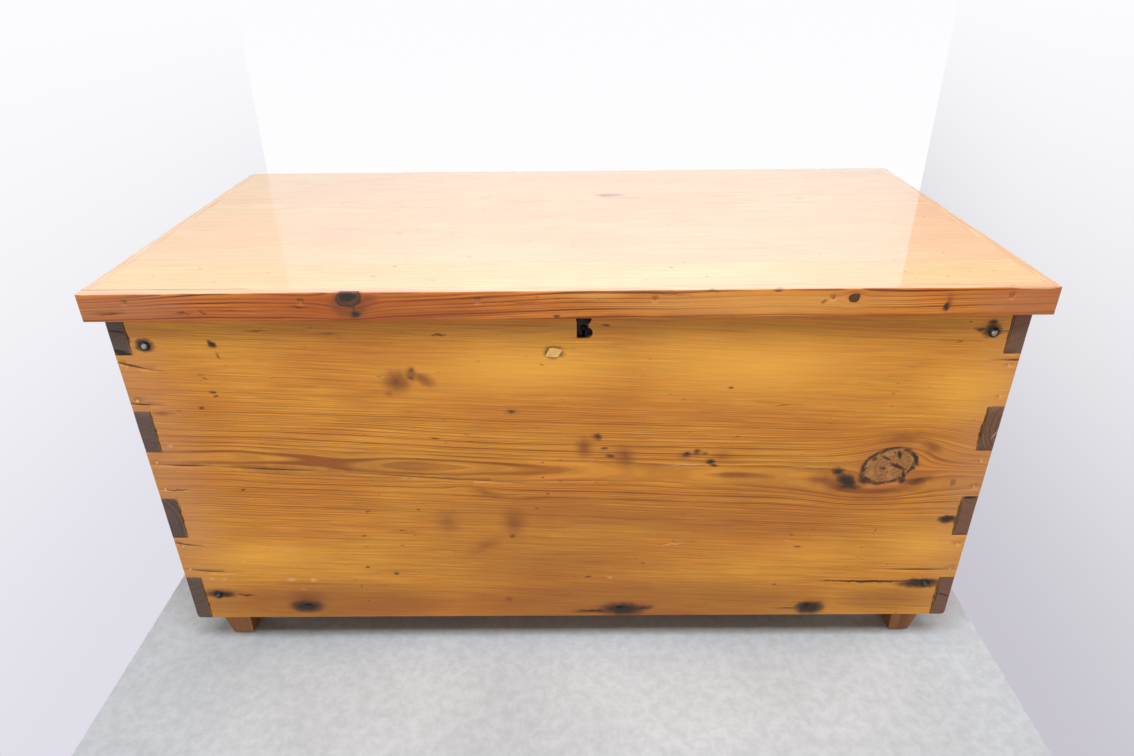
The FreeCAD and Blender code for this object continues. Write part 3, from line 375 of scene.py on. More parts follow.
sideBoards = {
    "left": dict(pine, end=colour(100, 82, 74), endLate=colour(74, 58, 52), axes="yzx", seed=2.0,
                 # the upright lines near x -570 are painted shade in the gap where the finger ends meet the front
                 # board, partly dirt; the others are real marks
                 endMarksAndJointShade=(crack(-598, 563, -566, 559, 1.3, 1.4), crack(-570, 590, -570, 532, 2.2, 1.3), (-580, 528, 12, 3, 0, 1.3),
                           (-586, 532, 14, 4, -8, 0.9), crack(-571, 452, -570, 372, 1.8, 1.2), crack(-571, 300, -570, 220, 1.8, 1.2),
                           crack(-571, 146, -570, 66, 1.8, 1.2)),
                  face=-593.5, inward=1.0, inside=-570.5, pith=(250.0, -640.0, 0.03, 0.0), ring=2.8,
                 knots=((-90, 430, 16, 13, 10, 1.0), (130, 210, 10, 8, 0, 1.0)),
                 smudges=((-80, 425, 50, 30, 0, 1.0), (130, 205, 34, 20, 0, 1.0), (10, 90, 120, 30, 0, 0.8)),
                 marks=((-20, 330, 8, 2.5, 0, 1.0), (200, 470, 9, 2.5, 0, 1.0), (-180, 180, 6, 3, 0, 1.0)),
                 stainsAndJointShade=((-246, 138, 16, 13, 0, 1.4), (-246, 563, 15, 12, 0, 1.4), (246, 138, 16, 12, 0, 1.4),
                         (246, 563, 14, 12, 0, 1.4), (-100, 78, 26, 8, 0, 1.0), (120, 78, 24, 8, 0, 1.0)),
                 splits=(crack(-300, 300, -235, 304, 1.6, 1.2), crack(240, 150, 300, 147, 1.8, 1.2))),
    "right": dict(pine, end=colour(122, 88, 70), endLate=colour(92, 62, 50), axes="yzx", seed=3.0,
                  # the upright lines at x 571 are painted shade in the gap where the finger ends meet the front board,
                  # partly dirt; the others are real marks
                  endMarksAndJointShade=(crack(571, 590, 571, 520, 2.0, 1.3), crack(571, 446, 571, 366, 2.0, 1.3), crack(571, 290, 571, 214, 2.4, 1.4),
                            crack(571, 140, 571, 62, 2.4, 1.4), crack(571, 105, 596, 95, 1.3, 1.3), (580, 287, 12, 3, 0, 1.0)),
                  endScuffs=(crack(584, 384, 597, 410, 1.4, 1.3), crack(592, 396, 599, 402, 2.4, 1.1)),
                   face=593.5, inward=-1.0, inside=570.5, pith=(400.0, 650.0, -0.03, 0.0), ring=2.6,
                  knots=((60, 310, 20, 15, -12, 1.0), (-150, 480, 9, 8, 0, 1.0)),
                  smudges=((60, 305, 60, 34, 0, 1.0), (-150, 476, 30, 18, 0, 1.0), (-30, 95, 140, 30, 0, 0.8)),
                  marks=((150, 420, 8, 2.5, 0, 1.0), (-60, 190, 9, 2.5, 0, 1.0), (215, 250, 6, 3, 0, 1.0)),
                  stainsAndJointShade=((-246, 138, 16, 13, 0, 1.4), (-246, 563, 15, 12, 0, 1.4), (246, 138, 16, 12, 0, 1.4),
                          (246, 563, 14, 12, 0, 1.4), (-60, 78, 26, 8, 0, 1.0), (90, 78, 24, 8, 0, 1.0)),
                  splits=(crack(-300, 430, -240, 426, 1.6, 1.2), crack(235, 235, 300, 238, 1.8, 1.2))),
}

backBoard = dict(
    pine, seed=4.0, face=290.5, inward=-1.0, inside=267.5, pith=(200.0, 345.0, 0.03, 0.0), ring=2.9,
    early=colour(204, 142, 70), warm=colour(186, 120, 58), varnish=0.35, rough=0.5,
    knots=((-300, 400, 22, 17, 10, 1.0), (210, 190, 15, 12, 0, 1.0), (420, 470, 9, 8, 0, 1.0)),
    smudges=((-300, 395, 70, 40, 0, 1.0), (210, 185, 50, 28, 0, 1.0), (0, 90, 500, 30, 0, 0.9)),
    marks=((60, 330, 8, 2.5, 0, 1.0), (-120, 230, 9, 2.5, 0, 1.0), (330, 330, 6, 3, 0, 1.0)),
    stainsAndJointShade=((-550, 107, 16, 12, 0, 1.4), (-550, 540, 15, 12, 0, 1.4), (550, 123, 16, 12, 0, 1.4), (550, 550, 15, 12, 0, 1.4),
            (-393, 78, 28, 9, 0, 1.1), (-131, 78, 26, 8, 0, 1.1), (131, 78, 30, 9, 0, 1.1), (393, 78, 26, 8, 0, 1.1)),
    splits=(crack(-600, 300, -520, 305, 1.8, 1.2), crack(500, 430, 600, 426, 1.8, 1.2)),
)

# the three paler top colours are painted light for the strong light falling on the lid's top
lidTop = {
    "top": (colour(246, 204, 158), colour(244, 192, 148), colour(228, 168, 120)), "varnish": 1.0, "edgeVarnish": 0.1,
    "coatRough": 0.03, "coatIor": 2.3, "fibre": 0.5, "rough": 0.3,
}
lidBoards = {
    "lid_rear_board": dict(pine, axes="xyz", seed=5.0, face=619.3, inward=-1.0, inside=594.3, pith=(90.0, 560.0, 0.02, 0.0),
                           ring=2.8, wander=12.0, **lidTop,
                           flames=((72, 126, 44, 14, 0, 0.9),),
                           smudges=((74, 128, 42, 22, 0, 0.8), (96, 112, 70, 12, 0, 0.35)),
                           marks=((62, 126, 16, 4, 6, 0.7), (86, 134, 12, 3, 0, 0.6), (-300, -60, 5, 2.4, 0, 0.4),
                                  (330, 40, 6, 2.4, 0, 0.4), (500, -40, 7, 2.4, 0, 0.5), (-140, 200, 7, 2.4, 0, 0.4))),
    "lid_front_board": dict(pine, axes="xyz", seed=6.0, face=619.3, inward=-1.0, inside=594.3, pith=(-170.0, 500.0, 0.0, 0.0),
                            ring=2.4, wander=9.0,
                            **dict(lidTop, top=(colour(247, 210, 154), colour(245, 198, 142), colour(230, 174, 116))),
                            marks=((180, -262, 6, 2.4, 0, 0.8), (-90, -240, 6, 2.4, 0, 0.6))),
    "lid_front_strip": dict(pine, axes="xzy", seed=7.0, face=-307.0, inward=1.0, inside=None, pith=(640.0, -345.0, 0.012, 0.0),
                            ring=2.7, early=colour(214, 130, 38), warm=colour(190, 98, 28), late=colour(106, 42, 12),
                            contrast=0.75, wander=14.0, ripple=2.0, **dict(lidTop, fibre=1.0),
                            knots=((-270, 611, 15, 11, 0, 1.0), (356, 606, 6.5, 6, 0, 1.0)),
                            knotPale=colour(96, 58, 30), knotDark=colour(58, 36, 22),
                            tonesAndPaintedLight=((((-560, 600, 130, 30, 0, 1.2), (580, 600, 120, 30, 0, 1.2)), colour(174, 112, 78), 0.55),
                                   (((-240, 600, 190, 30, 0, 1.2),), colour(150, 68, 20), 0.5),
                                   (((250, 600, 260, 26, 0, 1.2), (40, 612, 60, 6, 0, 1.2)), colour(228, 164, 78), 0.6),
                                   (((-150, 588, 160, 9, 2, 1.2),), colour(140, 62, 26), 0.6)),
                            smudges=((-270, 603, 32, 24, 0, 1.9), (-246, 610, 20, 10, 0, 0.9), (356, 606, 13, 10, 0, 0.9),
                                     (-575, 594, 30, 4, 0, 1.0), (474, 600, 8, 18, -8, 0.9)),
                            marks=((-334, 600, 15, 2, 4, 1.3), (-480, 592, 17, 2.4, 3, 1.1), (-455, 594, 9, 2.6, -30, 1.0),
                                   (-420, 596, 14, 1.8, 0, 0.7), (-12, 585, 6, 3, 0, 1.2), (-570, 593, 22, 2, 6, 0.9),
                                   (320, 602, 4, 3.4, 0, 0.9), (180, 617, 14, 2.4, 0, 0.9), (262, 618, 11, 2.6, 0, 1.1),
                                   (130, 613, 46, 1.2, -3, 0.7), (-60, 604, 60, 1.3, 0, 0.7)),
                            stainsAndJointShade=((-271, 613, 17, 11, 0, 1.5), (-264, 590, 10, 7, 0, 1.3), (-266, 600, 5, 9, 10, 0.8), (472, 593, 3.4, 8, -8, 1.4))),
    "lid_left_strip": dict(pine, axes="yzx", seed=8.0, face=-610.0, inward=1.0, inside=None, pith=(560.0, -645.0, 0.01, 0.0),
                           ring=2.6, early=colour(206, 138, 66), warm=colour(188, 114, 56), late=colour(144, 78, 38),
                           contrast=0.8, wander=10.0, **dict(lidTop, fibre=1.0),
                           marks=((-120, 600, 12, 2, 0, 1.0), (90, 606, 9, 2.4, 0, 1.0), (210, 592, 14, 1.8, 0, 1.0))),
    "lid_right_strip": dict(pine, axes="yzx", seed=9.0, face=610.0, inward=-1.0, inside=None, pith=(640.0, 645.0, 0.01, 0.0),
                            ring=2.6, early=colour(206, 138, 66), warm=colour(188, 114, 56), late=colour(144, 78, 38),
                            contrast=0.8, wander=10.0, **dict(lidTop, fibre=1.0),
                            marks=((-180, 604, 12, 2, 0, 1.0), (20, 596, 9, 2.4, 0, 1.0), (160, 610, 14, 1.8, 0, 1.0))),
}

bottomBoards = dict(pine, seed=10.0, axes="xyz", pith=(0.0, 30.0, 0.02, 0.0), ring=3.0, varnish=0.0, rough=0.6,
                    early=colour(182, 136, 88), warm=colour(166, 118, 74), late=colour(128, 84, 50),
                    end=colour(120, 92, 70), endLate=colour(86, 62, 46))

cornerPosts = dict(pine, seed=11.0, axes="zxy", pith=(590.0, 320.0, 0.0, 0.0), ring=3.2, wander=8.0,
                   early=colour(168, 110, 56), warm=colour(150, 94, 46), late=colour(108, 64, 32), varnish=0.5, rough=0.45,
                   end=colour(96, 68, 50), endLate=colour(66, 44, 32))


def finish(names, material):
    for name in names:
        for slot in nodes[name].material_slots:
            slot.material = material


# Worn boards. The case's four boards and the lid's three strips are each replaced by a copy whose outer sides are cut
# into a grid and shaped.

def lattice(u, v, seed):
    # random numbers on a square lattice, eased between by 3 t^2 - 2 t^3, from 0 to 1
    values = np.random.default_rng(seed).random((97, 97))
    i, j = np.floor(u).astype(int), np.floor(v).astype(int)
    s, t = u - i, v - j
    s, t = s * s * (3 - 2 * s), t * t * (3 - 2 * t)
    low = values[i % 97, j % 97] * (1 - s) + values[(i + 1) % 97, j % 97] * s
    high = values[i % 97, (j + 1) % 97] * (1 - s) + values[(i + 1) % 97, (j + 1) % 97] * s
    return low * (1 - t) + high * t


def along(first, last, step):
    count = max(2, round((last - first) / step))
    return np.linspace(first, last, count + 1)[1:-1]


def cutRow(mesh, faces, points, normal):
    # parallel cuts through some of the faces
    parts = list({v for f in faces for v in f.verts}) + list({e for f in faces for e in f.edges}) + faces
    for point in points:
        parts = bmesh.ops.bisect_plane(mesh, geom=parts, dist=0.12 * mm, plane_co=point, plane_no=normal)["geom"]


def skinFaces(mesh, side, box=None):
    # the faces that lie in a thin skin of one side, and in a box on it if one is given
    axis, level, inward = side["axis"], side["level"], side["inward"]
    chosen = []
    for face in mesh.faces:
        middle = face.calc_center_median() / mm
        if (middle[axis] - level) * inward < skinDepth:
            u, v = middle[side["u"]], middle[side["v"]]
            if box is None or box[0] < u < box[1] and box[2] < v < box[3]:
                chosen.append(face)
    return chosen


def cutSide(mesh, side, low, high):
    u, v, axis = side["u"], side["v"], side["axis"]

    def place(a, b):
        point = [0.0, 0.0, 0.0]
        point[u], point[v], point[axis] = a * mm, b * mm, side["level"] * mm
        return point

    def square(which):
        return tuple(1.0 if i == which else 0.0 for i in range(3))

    stepU, stepV = side["grid"]
    cutRow(mesh, skinFaces(mesh, side), [place(0, b) for b in along(low[v], high[v], stepV)], square(v))
    cutRow(mesh, skinFaces(mesh, side), [place(a, 0) for a in along(low[u], high[u], stepU)], square(u))
    for x, z, rx, rz in side.get("fine", ()):
        box = (x - rx, x + rx, z - rz, z + rz)
        cutRow(mesh, skinFaces(mesh, side, box), [place(0, b) for b in along(box[2], box[3], 2.0)], square(v))
        cutRow(mesh, skinFaces(mesh, side, box), [place(a, 0) for a in along(box[0], box[1], 2.0)], square(u))
    for x, z, half, width, turn, strength in side.get("splits", ()):
        c, s = math.cos(math.radians(turn)), math.sin(math.radians(turn))
        reachU, reachV = abs(c) * half + 8.0, abs(s) * half + 6.0
        normal = [0.0, 0.0, 0.0]
        normal[u], normal[v] = -s, c
        points = [place(x - s * off, z + c * off) for off in (-splitHalfWidth, 0.0, splitHalfWidth)]
        cutRow(mesh, skinFaces(mesh, side, (x - reachU, x + reachU, z - reachV, z + reachV)), points, normal)


def shapeSide(points, normals, side):
    # every point of the skin moves inwards by: plane hollows, more at worn edges, a groove round each knot,
    # a dish under each nail, and the split's depth on its middle line
    u, v = points[:, side["u"]], points[:, side["v"]]
    deep = (points[:, side["axis"]] - side["level"]) * side["inward"]
    weight = np.clip(1.0 - deep / skinDepth, 0.0, 1.0)
    seed = side["seed"]
    amount = side["wave"] * (0.7 * lattice(u / 150, v / 34, seed) + 0.3 * lattice(u / 38, v / 12, seed + 1))
    corner = np.clip(1.0 - np.abs(normals[:, side["axis"]]), 0.0, 1.0)
    amount += side["edge"] * corner * lattice(u / 15, v / 15, seed + 2) ** 2
    for x, z, rx, rz, turn, groove in side.get("knots", ()):
        c, s = math.cos(math.radians(turn)), math.sin(math.radians(turn))
        away = np.hypot(((u - x) * c + (v - z) * s) / rx, ((v - z) * c - (u - x) * s) / rz)
        amount += groove * np.exp(-((away - 1.0) / 0.07) ** 2)
        amount += 0.35 * groove * (away < 1.0) * lattice(u / 5, v / 4, seed + 3)
        amount -= np.minimum(amount, 0.3 * np.exp(-((away - 1.35) / 0.2) ** 2))
    for x, z, rx, rz, dip in side.get("dishes", ()):
        amount += dip * np.clip(1.0 - ((u - x) / rx) ** 2 - ((v - z) / rz) ** 2, 0.0, 1.0)
    moved = points - normals * (amount * weight)[:, None]
    for x, z, half, width, turn, strength in side.get("splits", ()):
        c, s = math.cos(math.radians(turn)), math.sin(math.radians(turn))
        t = ((u - x) * c + (v - z) * s) / half
        near = np.abs((v - z) * c - (u - x) * s) < 0.2
        drop = splitDepth * strength * np.sqrt(np.clip(1.0 - t * t, 0.0, 1.0)) * near * (weight > 0.5)
        moved[:, side["axis"]] += side["inward"] * drop
    return moved


def wornBoard(piece, node, body, sides, material):
    source = nodes[node].data
    mesh = bmesh.new()
    mesh.from_mesh(source)
    bmesh.ops.remove_doubles(mesh, verts=mesh.verts, dist=1e-6)
    bmesh.ops.dissolve_limit(mesh, angle_limit=math.radians(0.5), verts=mesh.verts, edges=mesh.edges)
    low, high = ([c / mm for c in corner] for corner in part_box(node))
    for side in sides:
        cutSide(mesh, side, low, high)
    bmesh.ops.triangulate(mesh, faces=[f for f in mesh.faces if len(f.verts) > 4])
    data = bpy.data.meshes.new(piece)
    mesh.to_mesh(data)
    mesh.free()
    points = np.empty(len(data.vertices) * 3)
    data.vertices.foreach_get("co", points)
    points = points.reshape(-1, 3) / mm
    normals = np.empty(len(data.vertices) * 3)
    data.vertex_normals.foreach_get("vector", normals)
    normals = normals.reshape(-1, 3)
    for side in sides:
        points = shapeSide(points, normals, side)
    data.vertices.foreach_set("co", (points * mm).ravel())
    data.materials.append(material)
    addPiece(piece, data, body, "pine", node)


def addPiece(name, data, body, slot, *replaced, angle=32.0):
    data.shade_smooth()
    data.set_sharp_from_angle(angle=math.radians(angle))
    data.update()
    piece = bpy.data.objects.new(name, data)
    bpy.context.scene.collection.objects.link(piece)
    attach(piece, body)
    if replaced:
        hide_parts(*replaced)
    print("  " + name + ":", len(data.polygons), "faces")
    return piece


skinDepth = 2.6
splitHalfWidth = 0.8
splitDepth = 1.5

xSide = {"axis": 0, "u": 1, "v": 2}
ySide = {"axis": 1, "u": 0, "v": 2}
zSide = {"axis": 2, "u": 0, "v": 1}


def fingerEnds(axisSide, reach, seed):
    # the ends of the fingers on both faces square to a board
    return [dict(axisSide, level=sign * reach, inward=-sign, grid=(9, 11), wave=0.3, edge=0.6, seed=seed + sign) for sign in (-1, 1)]


wornFront = [
    dict(ySide, level=-290.5, inward=1.0, grid=(13, 8), wave=0.28, edge=0.7, seed=20, splits=frontBoard["splits"],
         knots=((453, 343, 38, 28, 25, 0.9),), fine=((453, 343, 46, 38), (200, 349, 13, 10), (-412, 82, 16, 9), (79, 75, 16, 9), (372, 78, 16, 9)),
         dishes=((200, 350, 9, 6, 0.8), (-412, 82, 15, 8, 1.1), (79, 75, 15, 8, 1.1), (372, 78, 15, 8, 1.1), (399, 321, 13, 9, 0.7),
                 (-545, 107, 22, 7, 0.5), (546, 123, 22, 7, 0.5), (557, 248, 12, 6, 1.0))),
    *fingerEnds(xSide, 593.5, 30),
]
wornBack = [
    dict(ySide, level=290.5, inward=-1.0, grid=(16, 11), wave=0.45, edge=0.7, seed=40, splits=backBoard["splits"]),
    *fingerEnds(xSide, 593.5, 50),
]
wornLeft = [
    dict(xSide, level=-593.5, inward=1.0, grid=(13, 9), wave=0.35, edge=0.7, seed=60, splits=sideBoards["left"]["splits"]),
    *fingerEnds(ySide, 290.5, 70),
]
wornRight = [
    dict(xSide, level=593.5, inward=-1.0, grid=(13, 9), wave=0.35, edge=0.7, seed=80, splits=sideBoards["right"]["splits"]),
    *fingerEnds(ySide, 290.5, 90),
]
wornStrip = {"wave": 0.18, "edge": 0.6}
wornStrips = {
    "lid_front_strip": [
        dict(ySide, **wornStrip, level=-307.0, inward=1.0, grid=(11, 6), seed=120, knots=((-270, 611, 15, 11, 0, 0.4), (356, 606, 6.5, 6, 0, 0.4)),
             fine=((-270, 606, 19, 14), (356, 606, 9, 9))),
        dict(zSide, wave=0.0, edge=0.0, level=619.3, inward=-1.0, grid=(11, 5), seed=121),
        dict(xSide, **wornStrip, level=-610.0, inward=1.0, grid=(5, 6), seed=122),
        dict(xSide, **wornStrip, level=610.0, inward=-1.0, grid=(5, 6), seed=123),
    ],
    "lid_left_strip": [
        dict(xSide, **wornStrip, level=-610.0, inward=1.0, grid=(11, 6), seed=130),
        dict(zSide, wave=0.0, edge=0.0, level=619.3, inward=-1.0, grid=(5, 11), seed=131),
    ],
    "lid_right_strip": [
        dict(xSide, **wornStrip, level=610.0, inward=-1.0, grid=(11, 6), seed=140),
        dict(zSide, wave=0.0, edge=0.0, level=619.3, inward=-1.0, grid=(5, 11), seed=141),
    ],
}

print("boards")
wornBoard("wornFrontBoard", "front_board", "case", wornFront, boardMaterial("varnishedFrontPine", frontBoard))
wornBoard("wornBackBoard", "back_board", "case", wornBack, boardMaterial("thinlyVarnishedBackPine", backBoard))
wornBoard("wornLeftSideBoard", "left_side_board", "case", wornLeft, boardMaterial("varnishedLeftPine", sideBoards["left"]))
wornBoard("wornRightSideBoard", "right_side_board", "case", wornRight, boardMaterial("varnishedRightPine", sideBoards["right"]))
for name, sides in wornStrips.items():
    title = name.replace("_", " ").title().replace(" ", "")
    wornBoard("worn" + title, name, "lid", sides, boardMaterial("varnished" + title + "Pine", lidBoards[name]))
finish(["lid_front_board"], boardMaterial("polishedFrontLidPine", lidBoards["lid_front_board"]))
finish(["lid_rear_board"], boardMaterial("polishedRearLidPine", lidBoards["lid_rear_board"]))

print("bottom boards and posts: finishes")
finish(["bottom_front_board", "bottom_middle_board", "bottom_rear_board"], boardMaterial("rawBottomPine", bottomBoards))
finish([n for n in nodes if n.startswith("corner_post")], boardMaterial("darkPostPine", cornerPosts))


def ironMaterial(name, spec):
    # dark iron: cloudy scale, rust in the hollows, and bright metal where it is rubbed, such as a dome's top
    bench = Bench(name)
    at = bench.scaled(bench.put("TexCoord", {}, "Object"), 1000.0)
    cloud = bench.noise(bench.scaled(at, 1 / spec["cloud"]), 1.0, 4.0, 0.6)
    pits = bench.noise(bench.scaled(at, 1 / spec["pit"]), 1.0, 3.0, 0.7)
    tint = bench.blend(bench.fade(cloud, 0.35, 0.65), spec["scale"], spec["bright"])
    if spec.get("rubbed") is not None:
        x, y, z = bench.split(at)
        proud = bench.math("MAXIMUM", bench.math("SUBTRACT", bench.math("ABSOLUTE", x), 593.5),
                           bench.math("SUBTRACT", bench.math("ABSOLUTE", y), 290.5))
        worn = bench.math("MULTIPLY", bench.fade(proud, 1.7, 2.8), bench.fade(pits, 0.3, 0.6, 0.5, 1.0))
        worn = bench.math("MULTIPLY", worn, bench.fade(z, 200.0, 400.0, 0.2, 1.0))
        tint = bench.blend(worn, tint, spec["rubbed"])
    rust = bench.math("MULTIPLY", bench.fade(pits, 0.52, 0.68), spec["rustiness"])
    tint = bench.blend(rust, tint, spec["rust"])
    roughness = bench.math("MULTIPLY_ADD", rust, 0.4, bench.math("MULTIPLY_ADD", pits, 0.2, spec["rough"]))
    metal = bench.math("SUBTRACT", 1.0, rust)
    normal = bench.bump(bench.math("MULTIPLY_ADD", cloud, 0.5, pits), spec["relief"] * mm, 0.7)
    return bench.surface({"Base Color": tint, "Roughness": roughness, "Normal": normal, "Metallic": metal})


iron = {"cloud": 9.0, "pit": 1.6, "scale": colour(18, 17, 18), "bright": colour(44, 43, 42), "rust": colour(50, 30, 20),
        "rustiness": 0.5, "rough": 0.38, "relief": 0.25}
studIron = dict(iron, cloud=5.0, scale=colour(24, 25, 26), bright=colour(60, 62, 62), rubbed=colour(176, 180, 176), rustiness=0.25,
                rough=0.16, relief=0.35)
nailSteel = dict(iron, cloud=3.0, scale=colour(34, 34, 34), bright=colour(80, 78, 74), rustiness=0.5, rough=0.34)
hingeIron = dict(iron, cloud=12.0, rustiness=0.45)

print("iron, putty and plug: finishes")
lockParts = ["lock_plate", "lock_cap", "lock_bolt", "keeper", "bolt_spring", "key_post", "lock_pillars"]
finish(lockParts, ironMaterial("darkLockIron", iron))
finish([n for n in nodes if "hinge" in n and "screws" not in n], ironMaterial("darkHingeIron", hingeIron))
steelParts = ["bottom_nails", "finger_brads", "strip_brads", "hinge_case_screws", "hinge_lid_screws", "lock_screws",
              "keeper_screws"]
finish(steelParts, ironMaterial("dullNailSteel", nailSteel))


# Dome-headed post nails, hammered
domeNails = {"radius": 7.0, "rise": 3.0, "shank": 4.0, "tip": 1.6, "length": 55.0, "facets": 10, "seed": 7, "columns": 32,
             "front": ((-550.0, 107.0), (-550.0, 540.0), (550.0, 123.0), (550.0, 550.0)), "side": ((247.0, 138.0), (247.0, 563.0))}


def domeNail(spec, seed):
    # rows from the dome's top down to the shank's tip: the row's radius is round on the dome and square on the
    # shank, and flat facets, each a plane a little inside the sphere, shave the dome as a hammer does
    radius, rise = spec["radius"], spec["rise"]
    ball = (radius ** 2 + rise ** 2) / (2 * rise)
    turn = np.linspace(0, 2 * np.pi, spec["columns"], endpoint=False)[None, :]
    lean = np.linspace(0.06, 1.0, 10)[:, None] * np.arcsin(radius / ball)
    dome = np.stack([ball * np.sin(lean) * np.cos(turn), ball * np.sin(lean) * np.sin(turn),
                     (rise - ball + ball * np.cos(lean)) + 0 * turn], axis=-1)
    rng = np.random.default_rng(seed)
    for azimuth, tilt, shave in zip(rng.uniform(0, 2 * np.pi, spec["facets"]), rng.uniform(0.05, 0.6, spec["facets"]),
                                    rng.uniform(0.12, 0.4, spec["facets"])):
        facet = np.array([np.sin(tilt) * np.cos(azimuth), np.sin(tilt) * np.sin(azimuth), np.cos(tilt)])
        out = (dome - np.array([0, 0, rise - ball])) @ facet - (ball - shave)
        dome = dome - np.maximum(out, 0.0)[..., None] * facet
    dome[..., 2] = np.maximum(dome[..., 2], 0.12)
    down = np.array([0.0, 0.0, -1.0, -18.0, -spec["length"]])[:, None]
    half = np.array([radius, spec["shank"] / 2, spec["shank"] / 2, spec["shank"] * 0.38, spec["tip"] / 2])[:, None]
    square = np.maximum(np.abs(np.cos(turn)), np.abs(np.sin(turn)))
    square = np.where(np.arange(5)[:, None] > 0, square, 1.0)
    shank = np.stack([half * np.cos(turn) / square, half * np.sin(turn) / square, down + 0 * turn], axis=-1)
    return np.concatenate([dome, shank])


def gridFaces(rows, columns, first=0):
    # quads between neighbouring rows, closed round the columns, with a fan cap at both ends
    i, j = np.meshgrid(np.arange(rows - 1), np.arange(columns), indexing="ij")
    k = (j + 1) % columns
    quads = np.stack([i * columns + j, (i + 1) * columns + j, (i + 1) * columns + k, i * columns + k], axis=-1).reshape(-1, 4)
    ends = [list(range(columns)), list(range(rows * columns - 1, (rows - 1) * columns - 1, -1))]
    return [[first + n for n in face] for face in quads.tolist() + ends]


def setNails(spec):
    points, faces = [], []
    places = [((x, wall * 290.5, z), (0, wall, 0)) for x, z in spec["front"] for wall in (-1, 1)]
    places += [((end * 593.5, wall * y, z), (end, 0, 0)) for y, z in spec["side"] for wall in (-1, 1) for end in (-1, 1)]
    for n, (middle, out) in enumerate(places):
        nail = domeNail(spec, spec["seed"] + n)
        out = np.array(out, float)
        up = np.array([0.0, 0.0, 1.0])
        frameAxes = np.stack([np.cross(up, out), up, out])
        faces += gridFaces(nail.shape[0], nail.shape[1], sum(len(p) for p in points))
        points.append((np.array(middle) + nail.reshape(-1, 3) @ frameAxes) * mm)
    data = bpy.data.meshes.new("hammeredPostNails")
    data.from_pydata(np.concatenate(points).tolist(), [], faces)
    data.materials.append(ironMaterial("rubbedStudIron", studIron))
    addPiece("hammeredPostNails", data, "case", "stud_iron", "post_nails", angle=40.0)


print("post nails")
setNails(domeNails)


def puttyMaterial(name, pale, deep, grain):
    bench = Bench(name)
    at = bench.scaled(bench.put("TexCoord", {}, "Object"), 1000.0)
    cloud = bench.noise(bench.scaled(at, 1 / grain), 1.0, 4.0, 0.65)
    streak = bench.noise(bench.vector("MULTIPLY", at, (0.12, 1.1, 1.1)), 1.0, 3.0, 0.6)
    tint = bench.blend(bench.fade(cloud, 0.3, 0.7), deep, pale)
    tint = bench.blend(1.0, tint, bench.blend(bench.fade(streak, 0.3, 0.7), (0.86, 0.84, 0.8, 1), (1.06, 1.06, 1.06, 1)), "MULTIPLY")
    return bench.surface({"Base Color": tint, "Roughness": bench.math("MULTIPLY_ADD", cloud, 0.2, 0.4),
                          "Normal": bench.bump(cloud, 0.15 * mm, 0.6), "Coat Weight": 0.1, "Coat Roughness": 0.3})


finish(["finger_brad_fillings"], puttyMaterial("palePutty", colour(228, 180, 112), colour(206, 150, 84), 2.5))
finish(["strip_brad_fillings"], puttyMaterial("amberPutty", colour(184, 106, 42), colour(150, 80, 30), 2.5))
finish(["lozenge_plug"], puttyMaterial("palePlugPine", colour(242, 200, 122), colour(216, 164, 86), 6.0))


# The room: a pale floor, and a pale sheet round it that lamps don't meet.
room = {"left": -0.70, "right": 0.668, "rightBack": 0.825, "back": 0.62, "front": -3.0, "height": 2.4, "floor": 5.5}


def stageMesh(name, points, faces, material):
    mesh = bpy.data.meshes.new(name)
    mesh.from_pydata(points, [], faces)
    mesh.materials.append(material)
    piece = bpy.data.objects.new(name, mesh)
    bpy.context.scene.collection.objects.link(piece)
    return piece


def floorMaterial():
    bench = Bench("paleFloor")
    at = bench.put("TexCoord", {}, "Object")
    cloud = bench.noise(at, 1.4, 4.0, 0.55)
    tint = bench.blend(bench.fade(cloud, 0.3, 0.7), colour(178, 184, 190), colour(208, 213, 218))
    grit = bench.noise(bench.scaled(at, 60.0), 1.0, 3.0, 0.7)
    tint = bench.blend(1.0, tint, bench.blend(bench.fade(grit, 0.3, 0.7), (0.9, 0.9, 0.9, 1), (1.05, 1.05, 1.05, 1)), "MULTIPLY")
    return bench.surface({"Base Color": tint, "Roughness": 0.55, "Specular IOR Level": 0.2})


def sheetMaterial(name, tint, paintedReflection):
    # glows, and only from inside the room: to the camera it darkens towards the floor, painted shade on the sheet, and
    # in gloss it shows a colour of its own, a painted reflection tint on the lid
    bench = Bench(name)
    rise = bench.fade(bench.split(bench.put("TexCoord", {}, "Object"))[2], 0.0, 1.0)
    seen = bench.put("LightPath", {}, "Is Camera Ray")
    light = bench.put("Emission", {"Color": bench.blend(seen, paintedReflection, bench.blend(rise, tint, colour(252, 252, 254))), "Strength": 1.0})
    clear = bench.put("BsdfTransparent", {})
    away = bench.put("NewGeometry", {}, "Backfacing")
    both = bench.put("MixShader", {0: away, 1: light, 2: clear})
    bench.put("OutputMaterial", {0: both}, None)
    return bench.material


